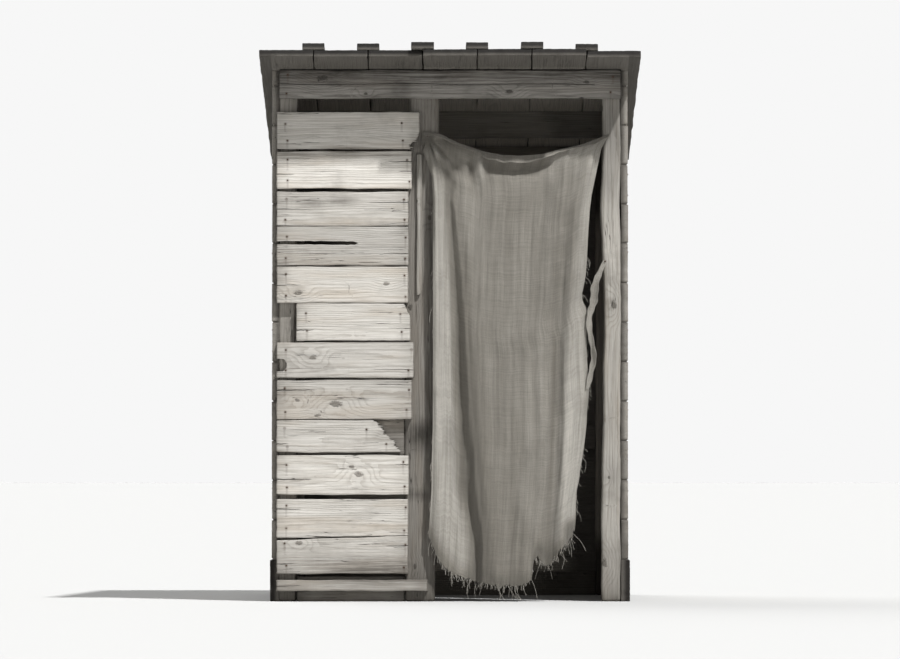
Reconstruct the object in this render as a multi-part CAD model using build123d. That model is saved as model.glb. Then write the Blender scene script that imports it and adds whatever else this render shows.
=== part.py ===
from build123d import *
from math import cos, radians, sin, tan
import os

# Outhouse of rough-sawn pine: a post frame, wall boards laid level with open joints,
# a lean-to roof of boards and battens that falls to the rear, and a cloth hung in the
# doorway in place of a door. There is no floor.
# Millimetres. X runs to the right as seen from the doorway, Y to the rear, Z up.
# The origin is on the ground under the middle of the roof.

# Frame
frame_width = 1240.0
frame_depth = 1220.0
eaves_height = 1925.0        # underside of the roof at the front face of the frame
roof_slope = 11.0            # degrees, falling to the rear
doorway_width = 610.0
post_face = 65.0             # corner posts, seen from the front
post_depth = 95.0            # corner posts, front to rear
door_post_width = 110.0
timber_thickness = 45.0      # door post, rails, purlin, girts and sills
timber_depth = 90.0          # rails, purlin, girts and sills, measured upright
plate_height = 50.0          # plates on the posts, at their front or rear face
girt_height = 600.0          # middle of every girt above the ground
front_girt_depth = 140.0

# Boards on the walls
board_thickness = 25.0
board_height = 136.0         # side and rear walls
board_gap = 7.0
smallest_rip = 30.0          # a narrower strip under the roof is left off
side_board_reveal = 17.0     # end of a side board left bare beside the front boards
base_plank_thickness = 32.0
base_plank_height = 150.0

# Front wall, left of the doorway: heights of its boards and how far each runs onto the
# door post, from the ground up
front_board_heights = [121.0, 150.0, 145.0, 111.0, 143.0, 127.0, 128.0, 128.0, 135.0, 127.0, 135.0, 125.0]
front_board_laps = [14.0, 14.0, 16.0, 14.0, 27.0, 34.0, 22.0, 14.0, 16.0, 15.0, 27.0, 55.0]
front_board_gap = 8.0
ground_gap = 38.0
bottom_strip_height = 40.0
bottom_strip_lap = 84.0
bottom_strip_gap = 22.0
header_height = 103.0
smallest_slot = 25.0         # open slot kept between the top board and the header

# Joints of the front boards that climb towards the doorway, by the board below the joint
front_joint_rises = {1: 18.0}

# Damage on the front boards, by their place from the ground up
front_board_damage = {4: "broken", 6: "notched", 7: "short", 9: "split", 12: "chipped"}
break_at_top = 107.0         # upper edge is lost this far short of the door post
break_at_foot = 12.0         # lower edge is lost this far short of the door post
notch_width = 38.0
notch_height = 46.0
notch_from_foot = 22.0
short_board_start = 74.0     # lost left end, measured from the side of the frame
split_length = 300.0
split_width = 7.0
split_from_top = 46.0
chip_width = 48.0            # lower corner lost beside the doorway
chip_height = 72.0

# Roof
roof_board_width = 190.0
roof_board_gap = 6.0
roof_overhang_front = 190.0  # past the face of the front boards
roof_overhang_rear = 90.0    # past the face of the rear boards
roof_overhang_side = 40.0    # past the face of the side boards
batten_width = 78.0
batten_thickness = 25.0

# Cloth in the doorway
cloth_thickness = 5.0
cloth_clearance = 0.3        # off the faces of the two posts
cloth_fold_depth = 42.0
cloth_folds = 5
cloth_left_lap = 45.0        # top corner on the door post
cloth_right_lap = 20.0       # top corner on the corner post
cloth_left_drop = 225.0      # below the eaves, at the door post
cloth_right_drop = 235.0     # below the eaves, at the corner post
cloth_sag = 88.0             # middle of the top edge under its left corner
cloth_bunch_height = 140.0   # height in which the left edge draws in to the doorway
cloth_waist = 62.0           # right edge inside the corner post, at mid height
cloth_waist_height = 1130.0
cloth_belly = 40.0           # right edge inside the corner post, lower down
cloth_belly_height = 800.0
cloth_torn_inset = 102.0     # lower right corner inside the corner post
cloth_torn_height = 270.0
cloth_hem_height = 52.0      # lowest part of the hem above the ground
cloth_hem_middle = 250.0     # lowest part of the hem, from the door post
cloth_left_foot = 210.0      # left corner of the hem above the ground

# Worked out from the sizes above
slope = radians(roof_slope)
half_width = frame_width / 2
roof_depth = roof_overhang_front + 2 * board_thickness + frame_depth + roof_overhang_rear
roof_board_length = roof_depth / cos(slope)
eave_y = -(roof_depth + (board_thickness + batten_thickness) * sin(slope)) / 2
front_y = eave_y + roof_overhang_front + board_thickness
rear_y = front_y + frame_depth
inner_front_y = front_y + post_depth
inner_rear_y = rear_y - post_depth
left_post_x = -half_width + post_face
doorway_right = half_width - post_face
doorway_left = doorway_right - doorway_width
door_post_left = doorway_left - door_post_width
front_post_top = eaves_height - plate_height


def roof_underside(y):
    """Height of the underside of the roof boards at a distance y along the building."""
    return eaves_height - (y - front_y) * tan(slope)


rear_post_top = roof_underside(rear_y) - plate_height


def block(x_range, y_range, z_range):
    """A squared timber or board between two corners."""
    size = [high - low for low, high in (x_range, y_range, z_range)]
    corner = Pos(x_range[0], y_range[0], z_range[0])
    return corner * Box(*size, align=(Align.MIN, Align.MIN, Align.MIN))


def side_profile(points, x_range):
    """A timber whose outline in the Y-Z plane is given, from one X to another."""
    outline = Plane.YZ.offset(x_range[0]) * Polygon(*points, align=None)
    return extrude(outline, amount=x_range[1] - x_range[0])


def under_roof(part):
    """Trims boards to the slope of the roof that they meet."""
    low_y, high_y = eave_y, -eave_y
    points = [(low_y, 0), (high_y, 0), (high_y, roof_underside(high_y)), (low_y, roof_underside(low_y))]
    return part & side_profile(points, (-frame_width, frame_width))


def sloped_timber(x_range, y_range, foot_points):
    """A timber with its top planed to the roof; foot_points are its lower two corners."""
    top = [(y, roof_underside(y)) for y in y_range]
    return side_profile([foot_points[0], foot_points[1], top[1], top[0]], x_range)


# Posts
def corner_post(side, y_range, top):
    x_range = sorted((side * half_width, side * (half_width - post_face)))
    return block(x_range, y_range, (0, top))


def door_post():
    return block(
        (door_post_left, doorway_left), (front_y, front_y + timber_thickness), (0, front_post_top)
    )


# Plates, rails and purlin under the roof
def front_plate():
    y_range = (front_y, inner_front_y)
    return sloped_timber((-half_width, half_width), y_range, [(y, front_post_top) for y in y_range])


def rear_plate():
    y_range = (inner_rear_y, rear_y)
    return sloped_timber((-half_width, half_width), y_range, [(y, rear_post_top) for y in y_range])


def side_lining(side):
    """X range of a timber on edge against the inside of a side wall."""
    return sorted((side * half_width, side * (half_width - timber_thickness)))


def roof_rail(side):
    y_range = (inner_front_y, inner_rear_y)
    foot = [(y, roof_underside(y) - timber_depth) for y in y_range]
    return sloped_timber(side_lining(side), y_range, foot)


def roof_purlin():
    reach = half_width - timber_thickness
    middle = (front_y + rear_y) / 2
    y_range = (middle - timber_thickness / 2, middle + timber_thickness / 2)
    foot_z = roof_underside(y_range[1]) - timber_depth
    return sloped_timber((-reach, reach), y_range, [(y, foot_z) for y in y_range])


# Girts half way up and sills on the ground, let in between the posts
def side_timber(side, z_range):
    return block(side_lining(side), (inner_front_y, inner_rear_y), z_range)


def rear_timber(z_range):
    return block((left_post_x, -left_post_x), (rear_y - timber_thickness, rear_y), z_range)


def front_timber(z_range):
    return block((left_post_x, door_post_left), (front_y, front_y + timber_thickness), z_range)


def centred(middle, height):
    return (middle - height / 2, middle + height / 2)


# Wall boards
def courses(lowest):
    """Foot of each course of boards, from the lowest one up to the eaves."""
    feet = []
    foot = lowest
    while foot + smallest_rip < eaves_height:
        feet.append(foot)
        foot += board_height + board_gap
    return feet


def wall_boards(x_range, y_range):
    """Level boards with open joints above the base plank, the top ones cut to the roof."""
    highest = roof_underside(y_range[0]) - smallest_rip
    feet = [foot for foot in courses(base_plank_height + board_gap) if foot < highest]
    boards = [block(x_range, y_range, (foot, foot + board_height)) for foot in feet]
    return under_roof(Compound(boards))


def side_wall_boards(side):
    x_range = sorted((side * half_width, side * (half_width + board_thickness)))
    return wall_boards(x_range, (front_y, rear_y))


def rear_wall_boards():
    reach = half_width + board_thickness
    return wall_boards((-reach, reach), (rear_y, rear_y + board_thickness))


def side_base_plank(side):
    x_range = sorted((side * half_width, side * (half_width + base_plank_thickness)))
    return block(x_range, (front_y, rear_y), (0, base_plank_height))


def rear_base_plank():
    reach = half_width + base_plank_thickness
    return block((-reach, reach), (rear_y, rear_y + base_plank_thickness), (0, base_plank_height))


# Front wall
front_face = (front_y - board_thickness, front_y)
front_left_x = -half_width - board_thickness + side_board_reveal
header_foot = eaves_height - header_height


def header_board():
    return block((-half_width, half_width), front_face, (header_foot, eaves_height))


def bottom_strip():
    z_range = (ground_gap, ground_gap + bottom_strip_height)
    return block((front_left_x, door_post_left + bottom_strip_lap), front_face, z_range)


def front_cutter(points):
    """A cut through the front boards whose outline in the X-Z plane is given."""
    outline = Plane.XZ.offset(-front_y) * Polygon(*points, align=None)
    return extrude(outline, amount=2 * board_thickness)


def damaged(board, kind, right, z_range):
    """What age has taken from one of the front boards."""
    foot, top = z_range
    outside = front_left_x - split_width
    if kind == "chipped":
        board -= front_cutter([(right - chip_width, foot), (right, foot), (right, foot + chip_height)])
    if kind == "broken":
        break_x = door_post_left - break_at_top
        beyond_x, beyond_z = doorway_left, top + board_thickness
        corners = [(door_post_left - break_at_foot, foot), (beyond_x, foot), (beyond_x, beyond_z)]
        board -= front_cutter(corners + [(break_x, beyond_z), (break_x, top)])
    if kind == "notched":
        low, high = foot + notch_from_foot, foot + notch_from_foot + notch_height
        tip = front_left_x + notch_width
        corners = [(outside, low), (tip, low + split_width), (tip - split_width, high), (outside, high)]
        board -= front_cutter(corners)
    if kind == "split":
        crack = top - split_from_top
        tip = (front_left_x + split_length, crack + split_width / 2)
        board -= front_cutter([(outside, crack), tip, (outside, crack + split_width)])
    return board


def front_boards():
    """The boards beside the doorway by name, from the bottom strip up to the open slot."""
    boards = {}
    foot = ground_gap + bottom_strip_height + bottom_strip_gap
    foot_rise = 0
    for number, (height, lap) in enumerate(zip(front_board_heights, front_board_laps), start=1):
        top = foot + height
        if top > header_foot - smallest_slot:
            break
        kind = front_board_damage.get(number)
        left = -half_width + short_board_start if kind == "short" else front_left_x
        right = door_post_left + lap
        rise = front_joint_rises.get(number, 0)
        corners = [(left, foot), (right, foot + foot_rise), (right, top + rise), (left, top)]
        board = extrude(Plane.XZ.offset(-front_y) * Polygon(*corners, align=None), amount=board_thickness)
        boards[f"front_board_{number:02d}"] = damaged(board, kind, right, (foot, top))
        foot = top + front_board_gap
        foot_rise = rise
    return boards


# Roof
roof_plane = Plane(
    origin=(0, eave_y, roof_underside(eave_y)), x_dir=(1, 0, 0), z_dir=(0, sin(slope), cos(slope))
)


def roof_layout():
    """Middle of each roof board across the roof, and the joints that the battens cover."""
    roof_width = frame_width + 2 * (board_thickness + roof_overhang_side)
    count = int((roof_width + roof_board_gap) // (roof_board_width + roof_board_gap))
    pitch = (roof_width - roof_board_width) / (count - 1)
    first = -(roof_width - roof_board_width) / 2
    middles = [first + pitch * index for index in range(count)]
    joints = [middle + pitch / 2 for middle in middles[:-1]]
    return middles, joints


def roof_strips(middles, width, foot, thickness):
    """Boards or battens that run down the slope, side by side."""
    whole = (0, roof_board_length)
    strips = [
        roof_plane * block((x - width / 2, x + width / 2), whole, (foot, foot + thickness)) for x in middles
    ]
    return Compound(strips)


# Cloth
def curtain_outline():
    """The cloth as seen from the front: a sagging top edge, a gathered waist, a torn hem."""
    left_top = (doorway_left - cloth_left_lap, eaves_height - cloth_left_drop)
    right_top = (doorway_right + cloth_right_lap, eaves_height - cloth_right_drop)
    dip = ((left_top[0] + right_top[0]) / 2, left_top[1] - cloth_sag)
    left_neck = (doorway_left, left_top[1] - cloth_bunch_height)
    left_foot = (doorway_left, cloth_left_foot)
    hem = (doorway_left + cloth_hem_middle, cloth_hem_height)
    torn = (doorway_right - cloth_torn_inset, cloth_torn_height)
    belly = (doorway_right - cloth_belly, cloth_belly_height)
    waist = (doorway_right - cloth_waist, cloth_waist_height)
    outline = Curve() + [
        ThreePointArc(left_top, dip, right_top),
        Spline(right_top, waist, belly, torn),
        Spline(torn, hem, left_foot),
        Line(left_foot, left_neck),
        Line(left_neck, left_top),
    ]
    return Plane.XZ * make_face(outline)


def curtain():
    """The outline cut from an upright cloth that falls in even folds."""
    width = doorway_width + cloth_left_lap + cloth_right_lap
    fold = width / cloth_folds
    back = front_y - cloth_clearance
    middle = back - cloth_fold_depth / 2
    crossing = doorway_left - cloth_left_lap - fold / 4
    rear_bends = []
    face_bends = []
    for bend in range(2 * cloth_folds + 1):
        crest = back if bend % 2 == 0 else back - cloth_fold_depth
        next_crossing = crossing + fold / 2
        points = [(crossing, middle), (crossing + fold / 4, crest), (next_crossing, middle)]
        rear_bends.append(ThreePointArc(*points))
        face_bends.append(ThreePointArc(*[(x, y - cloth_thickness) for x, y in points]))
        crossing = next_crossing
    ends = [Line(rear_bends[0] @ 0, face_bends[0] @ 0), Line(rear_bends[-1] @ 1, face_bends[-1] @ 1)]
    plan = make_face(Curve() + rear_bends + face_bends + ends)
    hanging = extrude(plan, amount=eaves_height)
    reach = 2 * (cloth_fold_depth + cloth_thickness)
    window = extrude(curtain_outline(), amount=reach, both=True)
    return hanging & (Pos(0, front_y, 0) * window)


pieces = {
    "corner_post_front_left": corner_post(-1, (front_y, inner_front_y), front_post_top),
    "corner_post_front_right": corner_post(1, (front_y, inner_front_y), front_post_top),
    "corner_post_rear_left": corner_post(-1, (inner_rear_y, rear_y), rear_post_top),
    "corner_post_rear_right": corner_post(1, (inner_rear_y, rear_y), rear_post_top),
    "door_post": door_post(),
    "front_plate": front_plate(),
    "rear_plate": rear_plate(),
    "left_roof_rail": roof_rail(-1),
    "right_roof_rail": roof_rail(1),
    "roof_purlin": roof_purlin(),
    "left_girt": side_timber(-1, centred(girt_height, timber_depth)),
    "right_girt": side_timber(1, centred(girt_height, timber_depth)),
    "rear_girt": rear_timber(centred(girt_height, timber_depth)),
    "front_girt": front_timber(centred(girt_height, front_girt_depth)),
    "left_sill": side_timber(-1, (0, timber_depth)),
    "right_sill": side_timber(1, (0, timber_depth)),
    "rear_sill": rear_timber((0, timber_depth)),
    "front_sill": front_timber((0, timber_depth)),
    "left_base_plank": side_base_plank(-1),
    "right_base_plank": side_base_plank(1),
    "rear_base_plank": rear_base_plank(),
    "left_wall_boards": side_wall_boards(-1),
    "right_wall_boards": side_wall_boards(1),
    "rear_wall_boards": rear_wall_boards(),
    "header_board": header_board(),
    "front_bottom_strip": bottom_strip(),
    "curtain": curtain(),
}
pieces.update(front_boards())
board_middles, board_joints = roof_layout()
pieces["roof_boards"] = roof_strips(board_middles, roof_board_width, 0, board_thickness)
pieces["roof_battens"] = roof_strips(board_joints, batten_width, board_thickness, batten_thickness)

os.makedirs("parts", exist_ok=True)
for name, piece in pieces.items():
    export_step(piece, f"parts/{name}.step")
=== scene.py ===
import math
import random
from functools import cache

import bmesh
import bpy
import numpy as np
from bpy.props import FloatProperty, FloatVectorProperty, IntProperty, PointerProperty
from mathutils import Matrix, Vector, noise


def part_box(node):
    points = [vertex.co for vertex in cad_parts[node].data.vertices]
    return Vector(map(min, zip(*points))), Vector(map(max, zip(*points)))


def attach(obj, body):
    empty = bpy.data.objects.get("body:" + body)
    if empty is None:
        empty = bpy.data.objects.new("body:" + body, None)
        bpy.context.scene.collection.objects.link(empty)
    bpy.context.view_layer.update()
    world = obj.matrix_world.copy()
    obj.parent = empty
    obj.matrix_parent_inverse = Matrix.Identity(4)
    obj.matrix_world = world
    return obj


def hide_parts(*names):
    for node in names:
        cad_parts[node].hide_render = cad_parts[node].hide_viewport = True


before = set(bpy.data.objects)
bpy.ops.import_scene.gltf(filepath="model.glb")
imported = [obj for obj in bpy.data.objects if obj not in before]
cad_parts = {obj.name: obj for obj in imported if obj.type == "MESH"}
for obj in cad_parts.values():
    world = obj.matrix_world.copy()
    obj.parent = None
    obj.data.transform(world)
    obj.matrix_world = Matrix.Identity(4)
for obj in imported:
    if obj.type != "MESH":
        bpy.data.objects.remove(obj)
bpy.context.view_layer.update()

bl_info = {
    "name": "Weathered Outhouse",
    "version": (1, 0, 0),
    "blender": (4, 5, 0),
    "location": "3D View > Sidebar > Outhouse",
    "description": "Dresses a plank outhouse: sawn boards, posts, battened roof and a sackcloth curtain",
    "category": "Object",
}

# Lines of the building, read from the frame
FRONT_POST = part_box("corner_post_front_right")
REAR_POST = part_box("corner_post_rear_right")
FRONT_FACE = FRONT_POST[0].y
REAR_FACE = REAR_POST[1].y
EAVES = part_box("header_board")[1].z
ROOF_FALL = math.atan2(FRONT_POST[1].z - REAR_POST[1].z, REAR_FACE - FRONT_FACE)
FRONT_BOARDS = [f"front_board_{number:02d}" for number in range(1, 13)]
TIMBERS = [
    "corner_post_front_left", "corner_post_front_right", "corner_post_rear_left", "corner_post_rear_right",
    "door_post", "front_plate", "rear_plate", "left_roof_rail", "right_roof_rail", "roof_purlin",
    "left_girt", "right_girt", "rear_girt", "front_girt",
    "left_sill", "right_sill", "rear_sill", "front_sill",
]

# Front boards, by their place from the ground up. Places are across and up, in metres.
BROKEN, NOTCHED, SHORT, SPLIT, CHIPPED = 4, 6, 7, 9, 12
FIRST_JOINT_RISE = 0.018       # how far the first joint climbs towards the doorway
FIRST_JOINT_CLOSES = 0.0075    # how much narrower it is there
# How much higher than on its solid the top of a board stands
RAISED_TOPS = {2: -0.009, 3: -0.003, 4: 0.005, 7: 0.005, 8: 0.003, 9: 0.005, 10: -0.004, 12: 0.010}
BREAK_LEAN = 0.095             # how far the break of the broken board leans back
# Outline of the notch, slanted end of the short board, the split and the chipped corner
NOTCH = ((-0.66, 0.831), (-0.604, 0.833), (-0.592, 0.846), (-0.590, 0.862), (-0.601, 0.878), (-0.66, 0.880))
SLANT_TOP, SLANT_FOOT = Vector((-0.168, 1.085)), Vector((-0.132, 1.000))
SPLIT_MOUTH, SPLIT_TIP, SPLIT_WIDTH = Vector((-0.650, 1.2995)), Vector((-0.332, 1.2975)), 0.0116
CHIP_FOOT, CHIP_SIDE = Vector((-0.164, 1.625)), Vector((-0.104, 1.712))
SHORT_BY = 0.011               # how far past its solid the short board reaches to the left
# How pale a board is, where chance doesn't choose it
BOARD_TONES = {2: 0.85, 3: 0.95, 5: 0.20, 6: 0.40, 7: 0.95, 8: 1.00, 9: 0.15, 11: 1.50}

# Knots: across, up and radius. Stains and painted shade: across, up, wide and high.
FRONT_KNOTS = ((-0.413, 0.716, 0.011), (-0.497, 0.884, 0.007), (-0.230, 1.150, 0.006), (-0.330, 0.460, 0.008))
FRONT_STAINS_AND_SHADE = (
    (-0.505, 1.446, 0.050, 0.016), (-0.392, 1.450, 0.042, 0.013), (-0.250, 0.110, 0.20, 0.04),
    # The three bands at about 1.62 m are a painted shadow: the roof's shade along the top of board 11.
    (-0.550, 1.620, 0.090, 0.014), (-0.385, 1.624, 0.110, 0.018), (-0.225, 1.618, 0.090, 0.013),
)
HEADER_KNOTS = ((-0.462, 1.895, 0.010), (0.214, 1.846, 0.007))
# Painted shade: the header is darker along its top, under the roof.
HEADER_PAINTED_SHADE = [(tenths / 10, 1.925, 0.25, 0.045) for tenths in range(-6, 7, 2)]
HEADER_SEAM = 1.874            # height of the crack along the header
SEAM_HALF, SEAM_DEPTH = 0.0016, 0.010
# On the door post: the first two narrow bands are the cloth's shadow, painted; then a darker place at 0.6 m
# and a thin dark line at 0.38 m.
POST_SHADOW_AND_MARKS = (
    (-0.072, 1.20, 0.010, 0.50), (-0.072, 0.75, 0.012, 0.40),
    (-0.112, 0.600, 0.055, 0.055), (-0.120, 0.384, 0.060, 0.008),
)
# Paler and darker patches of the timbers, many of them painted light and shade: across, up, wide, high, and
# how much paler
PATCHES_AND_PAINTED_LIGHT = {
    "door_post": ((-0.112, 0.605, 0.050, 0.045, -0.8),),
    # Left post: painted light where it lies in shadow, in the notch and under the board above at 1.06 m.
    "corner_post_front_left": ((-0.612, 0.852, 0.030, 0.026, 3.0), (-0.600, 1.062, 0.040, 0.026, 1.6)),
    # Girt: painted light against the shadow of the board above it.
    "front_girt": ((-0.200, 0.640, 0.100, 0.030, 2.5),),
    # Right post: darker at the top and at 1.51 m, a painted shade of the roof; paler at 1.27 m and darker at
    # 0.46 m.
    "corner_post_front_right": (
        (0.590, 1.270, 0.030, 0.090, 0.9), (0.590, 1.720, 0.060, 0.140, -1.3),
        (0.575, 1.510, 0.030, 0.050, -0.5), (0.590, 0.460, 0.030, 0.045, -0.7),
    ),
}
# Crooked posts: at each height, how far the left and the right edge stand to the right of a straight line
CROOKED = {
    "door_post": (
        (0.0, 0.0, 0.0), (1.30, 0.0, 0.0), (1.55, 0.010, 0.006), (1.72, 0.024, 0.013), (1.90, 0.024, 0.013),
    ),
    "corner_post_front_right": (
        (0.0, -0.011, 0.0), (0.30, -0.011, 0.0), (0.45, -0.008, 0.0), (0.60, 0.0, 0.0), (0.75, 0.003, 0.0),
        (0.95, 0.005, 0.0), (1.10, 0.002, 0.0), (1.30, -0.005, 0.0), (1.42, -0.013, 0.0), (1.50, -0.009, 0.0),
        (1.60, 0.0, 0.0), (1.90, 0.0, 0.0),
    ),
}

# Strip on the door post: length, width and thickness, its middle, and how its broken foot slants
STOP_SIZE, STOP_MIDDLE = Vector((0.527, 0.020, 0.011)), Vector((-0.111, FRONT_FACE - 0.0052, 1.3585))
STOP_BREAK = Vector((-0.14, 0.012)), Vector((-0.085, 0.045))
STOP_ARRIS, STOP_TOOTH = 0.004, 0.018

# Nails of the damaged boards that stand short of the doorway, the lower and the upper one
NAIL_SHIFTS = {BROKEN: (0.045, 0.11), SHORT: (0.02, 0.02), CHIPPED: (0.045, 0.045)}
NAIL_INSET = 0.045             # from the end of a side or rear board to its nails
NAIL_BELOW_ROOF = 0.015        # least distance of a nail from the roof
NAIL_THICKNESS, NAIL_ARRIS = 0.003, 0.0007
CLOTH_NAIL_OUT = 0.0062        # how far in front of the posts the nails through the cloth stand

# Distances across the grain between points on the mesh
POST_STEP, BEAM_STEP = 0.0135, 0.015
# Strips inside the joints: how much shorter than a board, how far under it they lie, and their rounding
TONGUE_SHORTER, TONGUE_BELOW, TONGUE_ARRIS = 0.006, 0.004, 0.001
CUTTER_START = 0.06            # how far in front of the frame a cutter starts
SHELTERED = 0.1                # depth in a board that the wood's material takes for the inside
ROOM_LAMP, ROOM_LAMP_RADIUS = (0.15, 0.05, 0.75), 0.3
NAIL_SEED, HEM_SEED, YARN_SEED = 12, 31, 53

# Directions
RIGHT, REARWARD, UP = Vector((1, 0, 0)), Vector((0, 1, 0)), Vector((0, 0, 1))
DOWN_ROOF = Vector((0, math.cos(ROOF_FALL), -math.sin(ROOF_FALL)))
OFF_ROOF = Vector((0, math.sin(ROOF_FALL), math.cos(ROOF_FALL)))
HIDDEN_WALLS = ("left", -RIGHT), ("right", RIGHT), ("rear", REARWARD)


def length(name, description, default):
    return FloatProperty(name=name, description=description, default=default, unit="LENGTH", precision=4)


def colour(name, description, default):
    return FloatVectorProperty(
        name=name, description=description, default=default, subtype="COLOR", size=3, min=0, max=1
    )


def angle(name, description, degrees):
    return FloatProperty(name=name, description=description, default=math.radians(degrees), subtype="ANGLE")


class OuthouseTimber(bpy.types.PropertyGroup):
    """How the boards and timbers are sawn, and what age has done to them."""

    arris: length("Arris", "Rounding of the long edges of a board", 0.0022)
    waney: length("Waney edge", "Rounding of the edges of the posts, which keep some of the log", 0.0095)
    wander: length("Edge wander", "How far the sawn edge of a board wanders", 0.0065)
    bend: length("Bend", "How far a post bends from side to side", 0.012)
    ragged: length("Ragged ends", "Unevenness of the sawn ends", 0.007)
    bow: length("Bow", "How far a board has bowed out of its plane", 0.004)
    relief: length("Grain relief", "Depth to which weather has eaten the soft grain", 0.0014)
    joint: length("Joint filled", "How much of a wall's joint the uneven edges take up", 0.0035)
    roof_joint: length("Roof joint filled", "How much of a joint is taken up in the roof", 0.0025)
    tongue: length("Tongue", "Height of the strip that closes a joint from inside", 0.020)
    groove: length("Groove", "Depth of a joint, down to that strip", 0.0045)
    roof_trim: length("Roof trim", "Most that a roof board falls short at the eaves", 0.030)
    nail_head: length("Nail head", "Diameter of a nail's head", 0.0062)
    front_step: length("Front mesh step", "Distance across the grain between points on a front board", 0.0055)
    step: length("Mesh step", "Distance across the grain between points on the other boards", 0.009)
    seed: IntProperty(name="Seed", description="Start of every chance choice", default=7)


class OuthouseCurtain(bpy.types.PropertyGroup):
    """Cut and hang of the cloth in the doorway."""

    flat_width: length("Flat width", "Width of the sacking before it was hung", 0.76)
    flat_length: length("Flat length", "Length of the sacking, with the part turned over at the top", 1.63)
    thickness: length("Thickness", "Thickness of the cloth", 0.0015)
    depth: length("Fold depth", "Depth of the folds, from the face of the posts", 0.044)
    turned: length("Turned edge", "How far the top edge is turned over at the middle", 0.015)
    stand_off: length("Turned edge stands off", "How far the turned edge stands off the cloth", 0.015)
    columns: IntProperty(name="Columns", description="Points across the cloth", default=180)
    rows: IntProperty(name="Rows", description="Points down the cloth", default=200)
    yarns: IntProperty(name="Loose yarns", description="Yarns that hang from the torn edges", default=220)


class OuthouseColours(bpy.types.PropertyGroup):
    """Colours of each finish, as they are written into its material."""

    wall: colour("Wall boards", "Bleached face of the wall boards", (0.68, 0.655, 0.61))
    wall_streak: colour("Wall streaks", "Late growth and stains on the wall boards", (0.33, 0.30, 0.262))
    post: colour("Right post", "Bleached face of the post to the right of the doorway", (0.50, 0.475, 0.435))
    post_streak: colour("Right post streaks", "Dark grain of that post", (0.23, 0.21, 0.18))
    timber: colour("Timbers", "Weathered face of the other posts and rails", (0.29, 0.272, 0.245))
    timber_streak: colour("Timber streaks", "Dark grain of the other posts and rails", (0.13, 0.117, 0.10))
    header: colour("Header", "Face of the board over the doorway", (0.35, 0.333, 0.306))
    header_streak: colour("Header streaks", "Dark grain of the header", (0.10, 0.09, 0.08))
    roof: colour("Roof", "Weathered roof boards and battens", (0.16, 0.155, 0.147))
    roof_streak: colour("Roof streaks", "Dark grain of the roof", (0.052, 0.048, 0.044))
    base: colour("Base planks", "Damp planks at the ground", (0.12, 0.108, 0.095))
    base_streak: colour("Base streaks", "Dark grain of the base planks", (0.045, 0.039, 0.034))
    inside: colour("Inside", "Sheltered faces of the timbers inside", (0.30, 0.272, 0.235))
    inside_boards: colour("Inside of boards", "Sheltered faces of the boards inside", (0.52, 0.48, 0.425))
    cloth: colour("Sacking", "Cloth where dirt stays in the hollows", (0.25, 0.231, 0.198))
    cloth_pale: colour("Bleached sacking", "Cloth on the crests of the folds", (0.60, 0.57, 0.515))
    rust: colour("Rust", "Nail heads", (0.055, 0.034, 0.024))
    floor: colour("Floor", "Studio floor, as the camera sees it", (0.485, 0.485, 0.48))
    floor_bounce: colour("Floor bounce", "Studio floor, as it lights the building", (0.43, 0.43, 0.42))


class OuthouseStage(bpy.types.PropertyGroup):
    """Camera and lights."""

    camera_distance: length("Camera distance", "From the front wall to the camera", 22.65)
    eye_height: length("Eye height", "Height of the camera above the ground", 0.478)
    aim_height: length("Aim height", "Height on the front wall at the middle of the picture", 0.985)
    aim_side: length("Aim side", "Place across the front wall at the middle of the picture", 0.0)
    lens: FloatProperty(name="Lens", description="Focal length in millimetres", default=250.0)
    key_height: angle("Key light height", "Angle of the key light above level", 58.6)
    key_side: angle("Key light side", "Angle of the key light to the right of straight ahead", 42)
    key_softness: angle("Key light softness", "Angle that the key light fills", 2.2)
    key: FloatProperty(name="Key light", description="Strength of the key light", default=4.6)
    back_height: angle("Back light height", "Angle of the back light above level", 38)
    back_side: angle("Back light side", "Angle of the back light to the left of straight behind", 40)
    back_softness: angle("Back light softness", "Angle that the back light fills", 50)
    back: FloatProperty(name="Back light", description="Strength of the light from behind", default=1.6)
    sky: FloatProperty(name="Sky light", description="Strength of the light from all round", default=0.38)
    room: FloatProperty(name="Room light", description="Strength of the soft light in the room", default=1.15)
    backdrop: FloatProperty(name="Backdrop", description="Brightness of the background", default=0.93)


def settings():
    scene = bpy.context.scene
    return scene.outhouse_timber, scene.outhouse_curtain, scene.outhouse_colours, scene.outhouse_stage


# Work with objects
def clear_selection():
    if bpy.context.object and bpy.context.object.mode != "OBJECT":
        bpy.ops.object.mode_set(mode="OBJECT")
    bpy.ops.object.select_all(action="DESELECT")


def pick(*pieces):
    """Selects these objects alone, the first one active."""
    clear_selection()
    for piece in pieces:
        piece.select_set(True)
    bpy.context.view_layer.objects.active = pieces[0]


def rename(piece, name):
    piece.name = piece.data.name = name


def join(pieces, name):
    pick(*pieces)
    if len(pieces) > 1:
        bpy.ops.object.join()
    rename(pieces[0], name)
    return pieces[0]


def soften(piece, degrees=40):
    pick(piece)
    bpy.ops.object.shade_smooth_by_angle(angle=math.radians(degrees))


def edit_all(piece):
    """Opens a piece for editing, with all of it selected."""
    pick(piece)
    bpy.ops.object.mode_set(mode="EDIT")
    bpy.ops.mesh.select_all(action="SELECT")


def extrude(offset):
    bpy.ops.mesh.extrude_region_move(TRANSFORM_OT_translate={"value": offset})


def face_outward():
    """Turns every face outward, and ends the editing."""
    bpy.ops.mesh.select_all(action="SELECT")
    bpy.ops.mesh.normals_make_consistent(inside=False)
    bpy.ops.object.mode_set(mode="OBJECT")


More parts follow.
